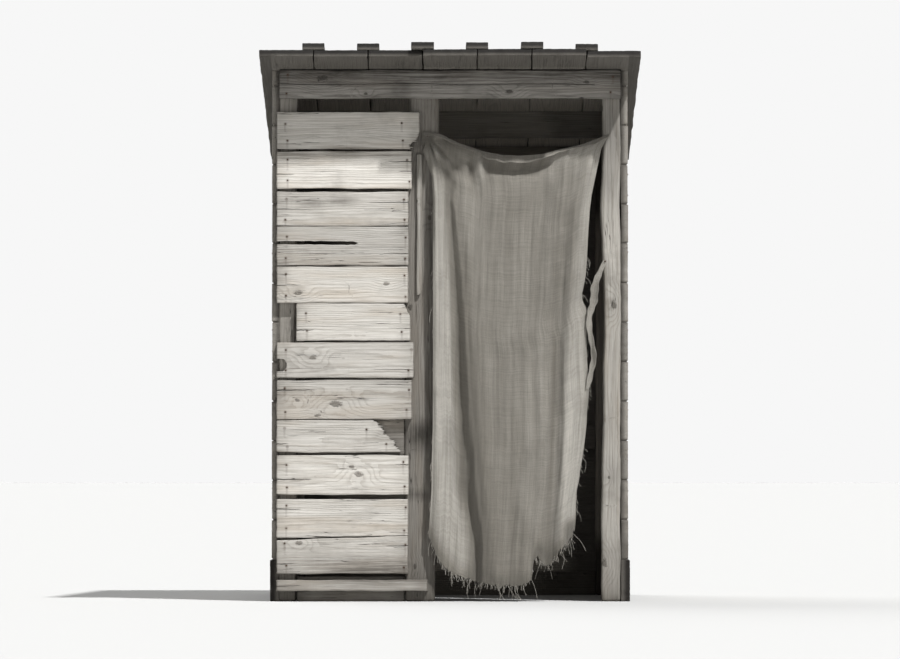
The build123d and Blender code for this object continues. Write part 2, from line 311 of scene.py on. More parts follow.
def bevel_sharp_edges(piece, offset, segments):
    pick(piece)
    bpy.ops.object.mode_set(mode="EDIT")
    bpy.ops.mesh.select_all(action="DESELECT")
    bpy.ops.mesh.select_mode(type="EDGE")
    bpy.ops.mesh.edges_select_sharp(sharpness=math.radians(60))
    bpy.ops.mesh.bevel(offset=offset, segments=segments)
    bpy.ops.object.mode_set(mode="OBJECT")


def apply_modifier(piece, kind, **values):
    """Gives the active piece a modifier with these values, and applies it."""
    modifier = piece.modifiers.new(kind.lower(), kind)
    for key, value in values.items():
        setattr(modifier, key, value)
    bpy.ops.object.modifier_apply(modifier=modifier.name)


def extent(spots):
    """Lowest and highest corner of some points."""
    low = Vector([min(spot[axis] for spot in spots) for axis in range(3)])
    high = Vector([max(spot[axis] for spot in spots) for axis in range(3)])
    return low, high


def write_layer(mesh, name, values):
    """Stores a number or a vector for each point of a mesh."""
    kind, field = ("FLOAT_VECTOR", "vector") if values.ndim == 2 else ("FLOAT", "value")
    layer = mesh.attributes.new(name, kind, "POINT")
    layer.data.foreach_set(field, values.astype(np.float32).ravel())


def finish_piece(piece, finish, nodes=()):
    """Cleans a piece, and gives it its material and its place in the frame."""
    material = finish_of(finish)
    edit_all(piece)
    bpy.ops.mesh.delete_loose()
    bpy.ops.mesh.select_all(action="SELECT")
    bpy.ops.mesh.remove_doubles(threshold=0.00002)
    bpy.ops.object.mode_set(mode="OBJECT")
    piece.data.materials.clear()
    piece.data.materials.append(material)
    for polygon in piece.data.polygons:
        polygon.material_index = 0
    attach(piece, "root")
    if nodes:
        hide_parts(*nodes)


def dress(piece, name, finish, nodes=()):
    """Names a piece, smooths its shading and finishes it."""
    rename(piece, name)
    soften(piece)
    finish_piece(piece, finish, nodes)


# Timber
def bench_turn(along, outward):
    """Turns a plank from the bench, where its length is X and its face is up, to its place."""
    across = outward.cross(along)
    return Matrix((along, across, outward)).transposed()


def wall_turn(outward):
    return bench_turn(UP.cross(outward), outward)


def solids_of(node, turn):
    """Size and middle of each solid in a node, measured along the axes of a plank."""
    mesh = bmesh.new()
    mesh.from_mesh(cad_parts[node].data)
    bmesh.ops.remove_doubles(mesh, verts=mesh.verts, dist=1e-5)
    waiting = set(mesh.verts)
    found = []
    while waiting:
        frontier = [waiting.pop()]
        group = list(frontier)
        while frontier:
            vert = frontier.pop()
            for edge in vert.link_edges:
                other = edge.other_vert(vert)
                if other in waiting:
                    waiting.remove(other)
                    group.append(other)
                    frontier.append(other)
        low, high = extent([turn.transposed() @ vert.co for vert in group])
        found.append((high - low, turn @ ((low + high) / 2)))
    mesh.free()
    return sorted(found, key=lambda solid: (round(solid[1].z, 3), solid[1].x))


def cut(piece, point, normal):
    """Saws off what lies past a plane."""
    edit_all(piece)
    bpy.ops.mesh.bisect(plane_co=point, plane_no=normal, use_fill=True, clear_outer=True)
    bpy.ops.object.mode_set(mode="OBJECT")


def saw_plank(size, step, arris, bands=1, rips=()):
    """Saws a plank on the bench: length along X, width along Y, face up. Points stand wider along X."""
    clear_selection()
    bpy.ops.mesh.primitive_grid_add(
        x_subdivisions=max(2, round(size.x / (2.2 * step))),
        y_subdivisions=max(2, round(size.y / step)),
        size=1, location=(0, 0, -size.z / 2),
    )
    plank = bpy.context.object
    plank.scale = (size.x, size.y, 1)
    bpy.ops.object.transform_apply(location=True, rotation=True, scale=True)
    edit_all(plank)
    for _ in range(bands):
        extrude((0, 0, size.z / bands))
    face_outward()
    for point, normal in rips:
        cut(plank, point, normal)
    bevel_sharp_edges(plank, arris, 3 if arris > step / 2 else 2)
    return plank


def push(piece, name, size, depth, direction, strength, mark):
    """Moves the active piece's points by clouds of this size and detail, which fall as the mark lies."""
    texture = bpy.data.textures.get(name) or bpy.data.textures.new(name, "CLOUDS")
    texture.noise_scale = size
    texture.noise_depth = depth
    apply_modifier(
        piece, "DISPLACE", texture=texture, direction=direction, strength=strength, mid_level=0.5,
        texture_coords="OBJECT", texture_coords_object=mark,
    )


def bench_mark():
    """An empty on the bench whose place and scale set where a texture falls on a plank."""
    clear_selection()
    bpy.ops.object.empty_add(location=(0, 0, 0))
    mark = bpy.context.object
    mark.name = "bench_mark"
    return mark


def weather(plank, timber, rng, mark, bend=0.0):
    """Lets the edges wander, roughens the ends, bows the plank and raises its grain."""
    pick(plank)
    mark.location = Vector((rng.uniform(5, 60), rng.uniform(5, 60), rng.uniform(5, 60)))
    mark.scale = (1, 1, 1)
    bpy.context.view_layer.update()
    push(plank, "edge_wander", 0.11, 2, "Y", timber.wander, mark)
    push(plank, "bow", 0.55, 1, "Z", timber.bow, mark)
    push(plank, "ragged_end", 0.022, 3, "X", timber.ragged, mark)
    if bend:
        push(plank, "bend", 0.34, 1, "Y", bend, mark)
    mark.scale = (9, 1, 1)
    bpy.context.view_layer.update()
    push(plank, "grain_relief", 0.011, 2, "NORMAL", timber.relief, mark)


def set_in_place(plank, turn, middle):
    pick(plank)
    plank.matrix_world = Matrix.Translation(middle) @ turn.to_4x4()
    bpy.ops.object.transform_apply(location=True, rotation=True, scale=True)


def make_plank(solid, turn, step, rng, mark, arris=None, bands=1, rips=(), bend=0.0):
    """A weathered plank in its place in the building."""
    timber = bpy.context.scene.outhouse_timber
    size, middle = solid
    plank = saw_plank(size, step, arris or timber.arris, bands, rips)
    weather(plank, timber, rng, mark, bend)
    set_in_place(plank, turn, middle)
    return plank


def crook(piece, table):
    """Moves the left and the right edge of a post sideways by distances that change with height."""
    low, high = extent([vert.co for vert in piece.data.vertices])
    clear_selection()
    bpy.ops.object.add(type="LATTICE", location=(low + high) / 2)
    cage = bpy.context.object
    cage.scale = high - low
    cage.data.points_u, cage.data.points_v, cage.data.points_w = 2, 2, 25
    cage.data.interpolation_type_w = "KEY_CATMULL_ROM"
    for point in cage.data.points:
        height = low.z + (point.co.z + 0.5) * (high.z - low.z)
        side = 1 if point.co.x < 0 else 2
        shift = np.interp(height, [row[0] for row in table], [row[side] for row in table])
        point.co_deform.x += shift / cage.scale.x
    bpy.context.view_layer.update()
    pick(piece)
    apply_modifier(piece, "LATTICE", object=cage)
    bpy.data.objects.remove(cage)


def under_roof(plank):
    cut(plank, (0, FRONT_FACE, EAVES), OFF_ROOF)


def on_ground(plank):
    cut(plank, (0, 0, 0), -UP)


def carve(piece, cutters):
    """Takes the cutters out of a piece, and takes them away."""
    cutter = join(cutters, "cutter")
    pick(piece)
    apply_modifier(piece, "BOOLEAN", operation="DIFFERENCE", solver="EXACT", object=cutter)
    bpy.data.objects.remove(cutter)


def front_cutter(outline, depth=0.09):
    """A solid that reaches into the front boards, from its outline as seen from the front."""
    mesh = bpy.data.meshes.new("cutter")
    near = FRONT_FACE - CUTTER_START
    mesh.from_pydata([(spot[0], near, spot[1]) for spot in outline], [], [range(len(outline))])
    cutter = bpy.data.objects.new("cutter", mesh)
    bpy.context.scene.collection.objects.link(cutter)
    edit_all(cutter)
    extrude((0, depth, 0))
    face_outward()
    return cutter


def splintered(start, stop, rng, tooth=0.006, pitch=0.0034):
    """Points from start to stop, broken into splinters that lie along the grain."""
    count = max(3, round((stop - start).length / pitch))
    points = [start]
    swell = 0.0
    for index in range(1, count):
        point = start.lerp(stop, index / count)
        swell = 0.7 * swell + rng.uniform(-0.5, 0.5) * tooth
        spike = rng.uniform(0.3, 1.0) * tooth * (2.0 if rng.random() < 0.2 else 1)
        point.x += swell + (spike if index % 2 else -0.35 * spike)
        points.append(point)
    return points + [stop]


def split_cutter(mouth, tip, width, rng, point=0.4, opens=0.0):
    """A split that runs along the grain from an end, opens by a share of its width and closes at its tip."""
    count = 24 if opens else 10
    upper, lower = [], []
    for index in range(count):
        share = index / count
        middle = mouth.lerp(tip, share) + Vector((0, rng.uniform(-0.0011, 0.0011)))
        half = Vector((0, width / 2 * (1 + opens * share) * (1 - share) ** point))
        upper.append(middle + half)
        lower.append(middle - half)
    return front_cutter(upper + [tip] + lower[::-1])


def lost_end(foot, top, past, rng, tooth, over=0.0):
    """A cutter that takes off the right end of a board, past a splintered line from foot to top."""
    outline = splintered(foot, top, rng, tooth) + [Vector((past, top.y + over)), Vector((past, foot.y))]
    return front_cutter(outline)


def front_wear(number, low, high, rng):
    """Cutters for the lost and split wood of one front board."""
    past = high.x + 0.03
    cutters = []
    if number == BROKEN:
        foot = Vector((high.x + 0.010, low.z - 0.012))
        top = Vector((high.x - BREAK_LEAN - 0.010, high.z + 0.012))
        cutters.append(lost_end(foot, top, past, rng, 0.009))
    if number == NOTCHED:
        cutters.append(front_cutter([Vector(spot) for spot in NOTCH]))
    if number == SHORT:
        cutters.append(lost_end(SLANT_FOOT, SLANT_TOP, past, rng, 0.003, 0.02))
    if number == SPLIT:
        cutters.append(split_cutter(SPLIT_MOUTH, SPLIT_TIP, SPLIT_WIDTH, rng, 0.12, 0.45))
    if number == CHIPPED:
        cutters.append(lost_end(CHIP_FOOT, CHIP_SIDE, past, rng, 0.008))
    for end, inward, damaged in (
        (low.x - 0.012, 1, (NOTCHED, SPLIT)), (high.x + 0.012, -1, (BROKEN, CHIPPED)),
    ):
        if number not in damaged and rng.random() < 0.75:
            height = low.z + rng.uniform(0.2, 0.8) * (high.z - low.z)
            mouth = Vector((end, height))
            tip = mouth + Vector((inward * rng.uniform(0.05, 0.17), rng.uniform(-0.004, 0.004)))
            cutters.append(split_cutter(mouth, tip, rng.uniform(0.0022, 0.0042), rng))
    return cutters


def joint_rips(number, size):
    """The plane that slants the top of the first front board, or the foot of the second."""
    if number == 1:
        rise = FIRST_JOINT_RISE
        return [((0, size.y / 2 - rise / 2, 0), (-rise, size.x, 0))]
    if number == 2:
        rise = FIRST_JOINT_RISE - FIRST_JOINT_CLOSES
        return [((0, rise / 2 - size.y / 2, 0), (rise, -size.x, 0))]
    return ()


def plank_knots(solid, turn, rng, knots):
    """Knots on a plank's own axes: given ones, by their place on the front, and some by chance."""
    size, middle = solid
    half = size / 2
    own = []
    for x, z, radius in knots:
        spot = turn.transposed() @ (Vector((x, middle.y, z)) - middle)
        if abs(spot.x) < half.x and abs(spot.y) < half.y:
            own.append((spot.x, spot.y, radius))
    for _ in range(rng.choice((0, 0, 1, 1, 2)) if size.x < 0.6 else rng.choice((0, 1, 1, 2, 3))):
        radius = min(rng.uniform(0.0028, 0.0080), 0.13 * size.y)
        own.append((rng.uniform(-0.94, 0.94) * half.x, rng.uniform(-0.85, 0.85) * half.y, radius))
    return own


def plank_nails(solid, turn):
    """Nails through a plank's face, on its own axes."""
    size, middle = solid
    half = size / 2
    own = []
    for spot, _ in nail_spots():
        local = turn.transposed() @ (spot - middle)
        if abs(local.x) < half.x and abs(local.y) < half.y and abs(local.z - half.z) < 0.012:
            own.append((local.x, local.y, 0.0))
    return own


def nearest(bench, marks):
    """From each point, how far along and across its nearest mark lies, and the mark's radius."""
    offsets = np.full((len(bench), 3), (9.0, 9.0, 0.01))
    closest = np.full(len(bench), 1e9)
    for x, y, radius in marks:
        away = np.column_stack((bench[:, 0] - x, bench[:, 1] - y, np.full(len(bench), radius)))
        reach = np.hypot(0.6 * away[:, 0], away[:, 1]) / max(radius, 0.004)
        nearer = reach < closest
        offsets[nearer] = away[nearer]
        closest[nearer] = reach[nearer]
    return offsets


def soft_spot(spots, x, z, wide, high):
    """How strongly a soft-edged spot on the front shows at each point."""
    reach = ((spots[:, 0] - x) / wide) ** 2 + ((spots[:, 2] - z) / high) ** 2
    return np.exp(-0.8 * reach)


def mark_grain(plank, solid, turn, rng, knots=(), stains_and_shade=(), tone=None, sheltered=False, patches_and_light=()):
    """Writes what the wood's material reads: how points lie in their plank, by its knots and by its nails."""
    size, middle = solid
    mesh = plank.data
    spots = np.empty(len(mesh.vertices) * 3)
    mesh.vertices.foreach_get("co", spots)
    spots = spots.reshape(-1, 3)
    bench = (spots - np.array(middle)) @ np.array(turn)
    offset = np.array((rng.uniform(1, 40), rng.uniform(-0.08, 0.08), rng.uniform(0.015, 0.06)))
    place = np.array(size) / 2 - np.column_stack((np.abs(bench[:, :2]), bench[:, 2]))
    if sheltered:
        place[:, 2] += SHELTERED
    write_layer(mesh, "grain", bench + offset)
    write_layer(mesh, "place", place)
    write_layer(mesh, "knot", nearest(bench, plank_knots(solid, turn, rng, knots)))
    write_layer(mesh, "nail", nearest(bench, plank_nails(solid, turn)))

    # Stains, with the painted shadows and shade that are listed among them
    darkening = np.zeros(len(spots))
    for x, z, wide, high in stains_and_shade:
        darkening = np.maximum(darkening, soft_spot(spots, x, z, wide, high))
    tones = np.full(len(spots), rng.random() if tone is None else tone)
    # Paler and darker patches, many of them painted light against cast shadows and painted shade
    for x, z, wide, high, paler in patches_and_light:
        tones += paler * soft_spot(spots, x, z, wide, high)
    write_layer(mesh, "tone", tones)
    write_layer(mesh, "darkening", darkening)


def wall(node, name, outward, rng, mark):
    """A wall's level boards, with joints narrowed by their uneven edges and closed from inside."""
    timber = bpy.context.scene.outhouse_timber
    turn = wall_turn(outward)
    planks = []
    for size, middle in solids_of(node, turn):
        solid = size + Vector((0, timber.joint, 0)), middle
        plank = make_plank(solid, turn, timber.step, rng, mark)
        under_roof(plank)
        mark_grain(plank, solid, turn, rng)
        joint = middle - UP * (size.y / 2 + TONGUE_BELOW) - outward * timber.groove / 2
        solid = Vector((size.x - TONGUE_SHORTER, timber.tongue, size.z - timber.groove)), joint
        tongue = make_plank(solid, turn, timber.step, rng, mark, TONGUE_ARRIS)
        under_roof(tongue)
        mark_grain(tongue, solid, turn, rng, sheltered=True)
        planks += [plank, tongue]
    return join(planks, name)


# Materials
RUST_STAIN, CRACK_COLOUR = (0.075, 0.050, 0.034), (0.018, 0.015, 0.012)
SIDE_WALL = 0.628, 0.648       # from the middle to the inner and the outer face of a side wall's boards
YARN_PITCH = 0.0042            # two yarns of the sacking, one over and one under


def add(tree, kind, values=None, **more):
    """Adds a node; a value is a constant or another node's output."""
    node = tree.nodes.new(kind)
    for key, value in more.items():
        setattr(node, key, value)
    for key, value in (values or {}).items():
        if isinstance(value, bpy.types.NodeSocket):
            tree.links.new(value, node.inputs[key])
        else:
            node.inputs[key].default_value = value
    return node


def attribute(tree, name, output="Vector"):
    return add(tree, "ShaderNodeAttribute", attribute_name=name).outputs[output]


def parts_of(tree, vector):
    return add(tree, "ShaderNodeSeparateXYZ", {0: vector}).outputs


def maths(tree, operation, *values, clamp=False):
    node = add(tree, "ShaderNodeMath", dict(enumerate(values)), operation=operation, use_clamp=clamp)
    return node.outputs[0]


def times(tree, first, second):
    return maths(tree, "MULTIPLY", first, second)


def plus(tree, first, second):
    return maths(tree, "ADD", first, second)


def times_plus(tree, first, second, third, clamp=False):
    return maths(tree, "MULTIPLY_ADD", first, second, third, clamp=clamp)


def distance(tree, across, up):
    return maths(tree, "SQRT", plus(tree, times(tree, across, across), times(tree, up, up)))


def vector_maths(tree, operation, *values):
    return add(tree, "ShaderNodeVectorMath", dict(enumerate(values)), operation=operation).outputs["Vector"]


def ramp(tree, value, low, high, start=0.0, end=1.0, smooth=True):
    """Maps low to start and high to end, and holds them past that."""
    node = add(
        tree, "ShaderNodeMapRange",
        {"Value": value, "From Min": low, "From Max": high, "To Min": start, "To Max": end},
        interpolation_type="SMOOTHSTEP" if smooth else "LINEAR",
    )
    return node.outputs["Result"]


def speckle(tree, vector, scale, detail=3.0, roughness=0.55):
    """Noise whose scale is given along each axis."""
    stretched = vector_maths(tree, "MULTIPLY", vector, scale)
    values = {"Vector": stretched, "Scale": 1.0, "Detail": detail, "Roughness": roughness}
    return add(tree, "ShaderNodeTexNoise", values).outputs


def mix(tree, share, first, second, blend="MIX"):
    node = add(tree, "ShaderNodeMix", data_type="RGBA", blend_type=blend)
    for index, value in ((0, share), (6, first), (7, second)):
        if isinstance(value, bpy.types.NodeSocket):
            tree.links.new(value, node.inputs[index])
        else:
            node.inputs[index].default_value = value if index == 0 else (*value[:3], 1)
    return node.outputs[2]


def darker(colour_value, factor):
    return tuple(value * factor for value in colour_value)


def bump_by(tree, shader, height, strength, distance):
    bump = add(tree, "ShaderNodeBump", {"Height": height, "Strength": strength, "Distance": distance})
    tree.links.new(bump.outputs[0], shader.inputs["Normal"])


def new_material(name):
    material = bpy.data.materials.new(name)
    material.use_nodes = True
    tree = material.node_tree
    shader = tree.nodes["Principled BSDF"]
    return material, tree, shader


def knots_in_wood(tree, grain):
    """Knots: core, broken ring of bark, year rings and checks, and how far the grain swerves by them."""
    knot = parts_of(tree, attribute(tree, "knot"))
    uneven = speckle(tree, grain, (60, 90, 90), 2.0)["Fac"]
    reach = distance(tree, times(tree, knot[0], 0.58), knot[1])
    reach = maths(tree, "DIVIDE", reach, knot[2])
    reach = plus(tree, reach, ramp(tree, uneven, 0.2, 0.8, -0.30, 0.30, smooth=False))
    core = ramp(tree, reach, 0.70, 1.15, 1.0, 0.0)
    bark = times(tree, ramp(tree, reach, 0.80, 1.00), ramp(tree, reach, 1.02, 1.45, 1.0, 0.0))
    bark = times(tree, bark, ramp(tree, speckle(tree, grain, (95, 260, 260), 2.0)["Fac"], 0.42, 0.60))
    year = maths(tree, "SINE", times(tree, reach, 21.0))
    check = times(tree, ramp(tree, speckle(tree, grain, (150, 420, 420), 2.0)["Fac"], 0.50, 0.60), core)
    swerve = times(tree, ramp(tree, reach, 0.4, 7.5, 2.6, 0.0), knot[2])
    return core, bark, year, check, swerve


def late_wood(tree, grain, swerve):
    """The dark, hard part of each year's ring. The rings wander, and swerve round the knots."""
    wander = vector_maths(tree, "MULTIPLY", speckle(tree, grain, (1.5, 9, 9), 2.0)["Color"], (0, 0.05, 0.035))
    lifted = add(tree, "ShaderNodeCombineXYZ", {2: swerve}).outputs[0]
    spot = vector_maths(tree, "ADD", vector_maths(tree, "ADD", grain, wander), lifted)
    ring = add(
        tree, "ShaderNodeTexWave",
        {"Vector": spot, "Scale": 52.0, "Distortion": 1.2, "Detail": 2.0, "Detail Scale": 0.6},
        wave_type="RINGS", rings_direction="X", wave_profile="SAW",
    ).outputs["Fac"]
    return ramp(tree, ring, 0.45, 0.95)


def drying_cracks(tree, grain):
    """Fine cracks along the grain, in some parts of a board."""
    line = speckle(tree, grain, (2.6, 105, 30), 2.0)["Fac"]
    line = maths(tree, "ABSOLUTE", maths(tree, "SUBTRACT", line, 0.5))
    where = ramp(tree, speckle(tree, grain, (3.2, 26, 26), 2.0)["Fac"], 0.52, 0.62)
    return times(tree, ramp(tree, line, 0.002, 0.011, 1.0, 0.0), where)


def stains_and_shade_on_wood(tree, spot, place, fibre, amount, end_dark):
    """Blotches, runs of rain, dark ends and edges, the board's own marks and painted shade, and splashes by
    the ground.
    """
    blotch = speckle(tree, spot, (4.5, 4.5, 6.5), 4.0, 0.62)["Fac"]
    drip = speckle(tree, spot, (34, 34, 2.2), 3.0)["Fac"]
    height = parts_of(tree, spot)[2]
    splash = times_plus(tree, maths(tree, "SUBTRACT", blotch, 0.5), 0.55, height)
    near_end = ramp(tree, place[0], 0.0, 0.07, end_dark, 0.0)
    near_end = plus(tree, near_end, ramp(tree, place[0], 0.0010, 0.0050, 0.50, 0.0))
    near_edge = ramp(tree, place[1], 0.0, 0.010, 0.22, 0.0)
    stained_and_shaded = times(tree, ramp(tree, blotch, 0.50, 0.74), amount)
    stained_and_shaded = times_plus(tree, ramp(tree, drip, 0.55, 0.85), 0.3 * amount, stained_and_shaded)
    stained_and_shaded = plus(tree, near_end, stained_and_shaded)
    stained_and_shaded = plus(tree, near_edge, stained_and_shaded)
    # The board's own darkening: stains, with the painted shadows and shade listed among them
    own = attribute(tree, "darkening", "Fac")
    stained_and_shaded = times_plus(tree, own, ramp(tree, fibre, 0.3, 0.6, 0.3, 0.8), stained_and_shaded)
    stained_and_shaded = times_plus(tree, ramp(tree, splash, 0.03, 0.30, 1.0, 0.0), 0.42, stained_and_shaded, clamp=True)
    return stained_and_shaded, drip


def rust_by_nails(tree, drip, drips):
    """Rust round the nails, which rain draws down below them on a wall."""
    nail = parts_of(tree, attribute(tree, "nail"))
    side = maths(tree, "ABSOLUTE", times_plus(tree, maths(tree, "SUBTRACT", drip, 0.5), 0.012, nail[0]))
    rust = ramp(tree, distance(tree, nail[0], nail[1]), 0.0030, 0.0085, 0.45, 0.0)
    if drips:
        below = times(tree, ramp(tree, nail[1], -0.062, -0.006), ramp(tree, nail[1], -0.004, 0.001, 1.0, 0.0))
        run = times(tree, below, ramp(tree, side, 0.001, 0.0060, 0.24, 0.0))
        rust = maths(tree, "MAXIMUM", rust, run)
    return rust


def wood(name, pale, streak, inside, darkening, shelter, drips, end_dark):
    """Weathered softwood, paled by the sun outside. Between the two depths of shelter it takes the inside's
    look; under the eaves and past the side walls that look is darkened to a painted shade.
    """
    material, tree, shader = new_material(name)
    grain = attribute(tree, "grain")
    place = parts_of(tree, attribute(tree, "place"))
    tone = attribute(tree, "tone", "Fac")
    spot = add(tree, "ShaderNodeTexCoord").outputs["Object"]
    core, bark, year, check, swerve = knots_in_wood(tree, grain)
    late = late_wood(tree, grain, swerve)
    fibre = speckle(tree, grain, (5, 170, 170), 4.0, 0.65)["Fac"]
    fine = speckle(tree, grain, (22, 900, 900), 2.0)["Fac"]
    crack = drying_cracks(tree, grain)
    stained_and_shaded, drip = stains_and_shade_on_wood(tree, spot, place, fibre, darkening, end_dark)
    rust = rust_by_nails(tree, drip, drips)

    shade = times_plus(tree, late, 0.30, times(tree, ramp(tree, fibre, 0.34, 0.70), 0.42))
    shade = times_plus(tree, ramp(tree, fine, 0.3, 0.8), 0.14, shade)
    warm = tuple(value * factor for value, factor in zip(streak, (1.30, 1.12, 0.90)))
    face = mix(tree, shade, pale, streak)
    warmth = ramp(tree, speckle(tree, grain, (2.0, 14, 14), 3.0)["Fac"], 0.48, 0.72, 0.0, 0.28)
    face = mix(tree, warmth, face, warm)
    # Stains and painted shade darken the face
    face = mix(tree, stained_and_shaded, face, darker(streak, 0.50))
    face = mix(tree, rust, face, RUST_STAIN)
    knot_face = mix(tree, ramp(tree, year, -0.6, 0.9), darker(streak, 0.80), darker(streak, 0.52))
    knot_face = mix(tree, times(tree, check, 0.6), knot_face, darker(streak, 0.16))
    face = mix(tree, times(tree, core, 0.85), face, knot_face)
    face = mix(tree, times(tree, bark, 0.65), face, darker(streak, 0.14))
    face = mix(tree, crack, face, CRACK_COLOUR)
    bright = maths(tree, "MAXIMUM", times_plus(tree, tone, 0.30, 0.80), 0.30)
    face = add(tree, "ShaderNodeHueSaturation", {"Color": face, "Value": bright}).outputs[0]

    # Sheltered wood; where it lies outside the walls, under the eaves, it gets a painted shade
    inside_and_eave_shade = mix(tree, shade, inside, darker(inside, 0.55))
    outside = ramp(tree, maths(tree, "ABSOLUTE", parts_of(tree, spot)[0]), *SIDE_WALL, 0.0, 0.95)
    outside = maths(tree, "MAXIMUM", outside, ramp(tree, place[0], 0.15, 0.27, 0.84, 0.0))
    inside_and_eave_shade = mix(tree, outside, inside_and_eave_shade, darker(inside, 0.115))
    face = mix(tree, ramp(tree, place[2], *shelter), face, inside_and_eave_shade)
    tree.links.new(face, shader.inputs["Base Color"])

    tree.links.new(ramp(tree, fibre, 0.3, 0.7, 0.78, 0.94), shader.inputs["Roughness"])
    shader.inputs["Specular IOR Level"].default_value = 0.25
    relief = times_plus(tree, late, 0.35, times(tree, fibre, 0.9))
    for height, depth in ((fine, 0.25), (crack, -1.6), (core, 0.5), (bark, -0.9)):
        relief = times_plus(tree, height, depth, relief)
    bump_by(tree, shader, relief, 0.75, 0.0016)
    return material


def sacking(colours):
    """Coarse plain weave with uneven yarns, paler on the crests of its folds and darker in the hollows:
    sun-fading and dirt, with painted light on the crests and painted shade in the hollows.
    """
    material, tree, shader = new_material("sackcloth_weave")
    thread = add(tree, "ShaderNodeUVMap", uv_map="flat").outputs[0]
    yarn = 2 * math.pi / YARN_PITCH
    uneven = speckle(tree, thread, (18, 90, 1), 2.0)["Color"]
    wobble = vector_maths(tree, "MULTIPLY", uneven, (0.0016, 0.0016, 0.0))
    lie = parts_of(tree, vector_maths(tree, "ADD", thread, wobble))
    warp = maths(tree, "SINE", times(tree, lie[0], yarn))
    weft = maths(tree, "SINE", times(tree, lie[1], yarn))
    over = ramp(tree, times(tree, warp, weft), -0.25, 0.25)
    warp_top = maths(tree, "ABSOLUTE", warp)
    weft_top = maths(tree, "ABSOLUTE", weft)
    weave = times_plus(tree, over, maths(tree, "SUBTRACT", warp_top, weft_top), weft_top)
    slub_down = speckle(tree, thread, (260, 5, 1), 3.0, 0.7)["Fac"]
    slub_across = speckle(tree, thread, (4, 240, 1), 3.0, 0.7)["Fac"]
    slubs = plus(tree, slub_down, slub_across)
    crest = attribute(tree, "crest", "Fac")
    soil = speckle(tree, thread, (5, 3.4, 1), 4.0, 0.6)["Fac"]
    streaks = speckle(tree, thread, (38, 1.6, 1), 3.0, 0.6)["Fac"]

    dark = darker(colours.cloth, 0.42)
    # Paler on the crests by bleaching and painted light; where the crest value is lowest the cloth darkens
    # further, dirt with a painted shadow in the dark hollows.
    face = mix(tree, ramp(tree, crest, 0.30, 1.0, smooth=False), colours.cloth, colours.cloth_pale)
    face = mix(tree, ramp(tree, crest, 0.0, 0.30, 0.62, 0.0, smooth=False), face, darker(colours.cloth, 0.45))
    face = mix(tree, ramp(tree, streaks, 0.42, 0.72, 0.0, 0.34), face, darker(colours.cloth, 0.55))
    face = mix(tree, ramp(tree, slubs, 0.72, 1.30, 0.0, 0.40), face, dark)
    face = mix(tree, ramp(tree, soil, 0.50, 0.76, 0.0, 0.40), face, darker(colours.cloth, 0.6))
    face = mix(tree, ramp(tree, weave, 0.55, 0.05, 0.0, 0.55), face, dark)
    tree.links.new(face, shader.inputs["Base Color"])
    tree.links.new(ramp(tree, slubs, 0.7, 1.3, 0.86, 0.97), shader.inputs["Roughness"])
    shader.inputs["Specular IOR Level"].default_value = 0.15
    shader.inputs["Sheen Weight"].default_value = 0.12
    shader.inputs["Sheen Roughness"].default_value = 0.6
    height = times_plus(tree, slubs, 0.6, weave)
    bump_by(tree, shader, height, 0.8, 0.0009)
    return material


def yarn_fibre(colours):
    """Loose yarns of the sacking."""
    material, tree, shader = new_material("loose_yarn")
    spot = add(tree, "ShaderNodeTexCoord").outputs["Object"]
    tuft = speckle(tree, spot, (900, 900, 260), 3.0, 0.7)["Fac"]
    face = mix(tree, ramp(tree, tuft, 0.3, 0.7), darker(colours.cloth, 0.8), colours.cloth_pale)
    tree.links.new(face, shader.inputs["Base Color"])
    tree.links.new(ramp(tree, tuft, 0.3, 0.7, 0.98, 0.86), shader.inputs["Roughness"])
    shader.inputs["Specular IOR Level"].default_value = 0.15
    return material


def rusty_iron(colours):
    """Nail heads."""
    material, tree, shader = new_material("rusty_iron")
    spot = add(tree, "ShaderNodeTexCoord").outputs["Object"]
    flake = speckle(tree, spot, (420, 420, 420), 4.0, 0.7)["Fac"]
    face = mix(tree, ramp(tree, flake, 0.35, 0.7), tuple(colours.rust), darker(colours.rust, 2.2))
    tree.links.new(face, shader.inputs["Base Color"])
    tree.links.new(ramp(tree, flake, 0.3, 0.7, 0.95, 0.6), shader.inputs["Roughness"])
    shader.inputs["Metallic"].default_value = 0.3
    bump_by(tree, shader, flake, 0.6, 0.0006)
    return material


def finish_of(name):
    """The material of a finish, made when it is first asked for."""
    ready = bpy.data.materials.get(name)
    if ready:
        return ready
    colours = bpy.context.scene.outhouse_colours
    inside, boards = tuple(colours.inside), tuple(colours.inside_boards)
    woods = {
        "weathered_wall": (colours.wall, colours.wall_streak, boards, 0.34, (0.006, 0.022), True, 0.22),
        "bleached_timber": (colours.post, colours.post_streak, inside, 0.35, (0.020, 0.075), True, 0.22),
        "weathered_timber": (colours.timber, colours.timber_streak, inside, 0.35, (0.020, 0.075), True, 0.22),
        "weathered_header": (colours.header, colours.header_streak, boards, 0.50, (0.006, 0.022), True, 0.22),
        "weathered_roof": (colours.roof, colours.roof_streak, boards, 0.55, (0.010, 0.023), False, 0.95),
        "damp_base": (colours.base, colours.base_streak, boards, 0.55, (0.010, 0.030), True, 0.35),
    }
    if name in woods:
        pale, streak, *more = woods[name]
        return wood(name, tuple(pale), tuple(streak), *more)
    return {"sackcloth_weave": sacking, "loose_yarn": yarn_fibre, "rusty_iron": rusty_iron}[name](colours)


# Pieces of timber
def timber_turn(node, low, high):
    """How a timber of the frame is turned from the bench to its place."""
    span = high - low
    if "post" in node:
        return bench_turn(UP, REARWARD if "rear" in node else -REARWARD)
    if span.x > span.y:
        return bench_turn(RIGHT, -REARWARD if low.y < 0 else REARWARD)
    return bench_turn(DOWN_ROOF if "rail" in node else REARWARD, RIGHT if low.x > 0 else -RIGHT)


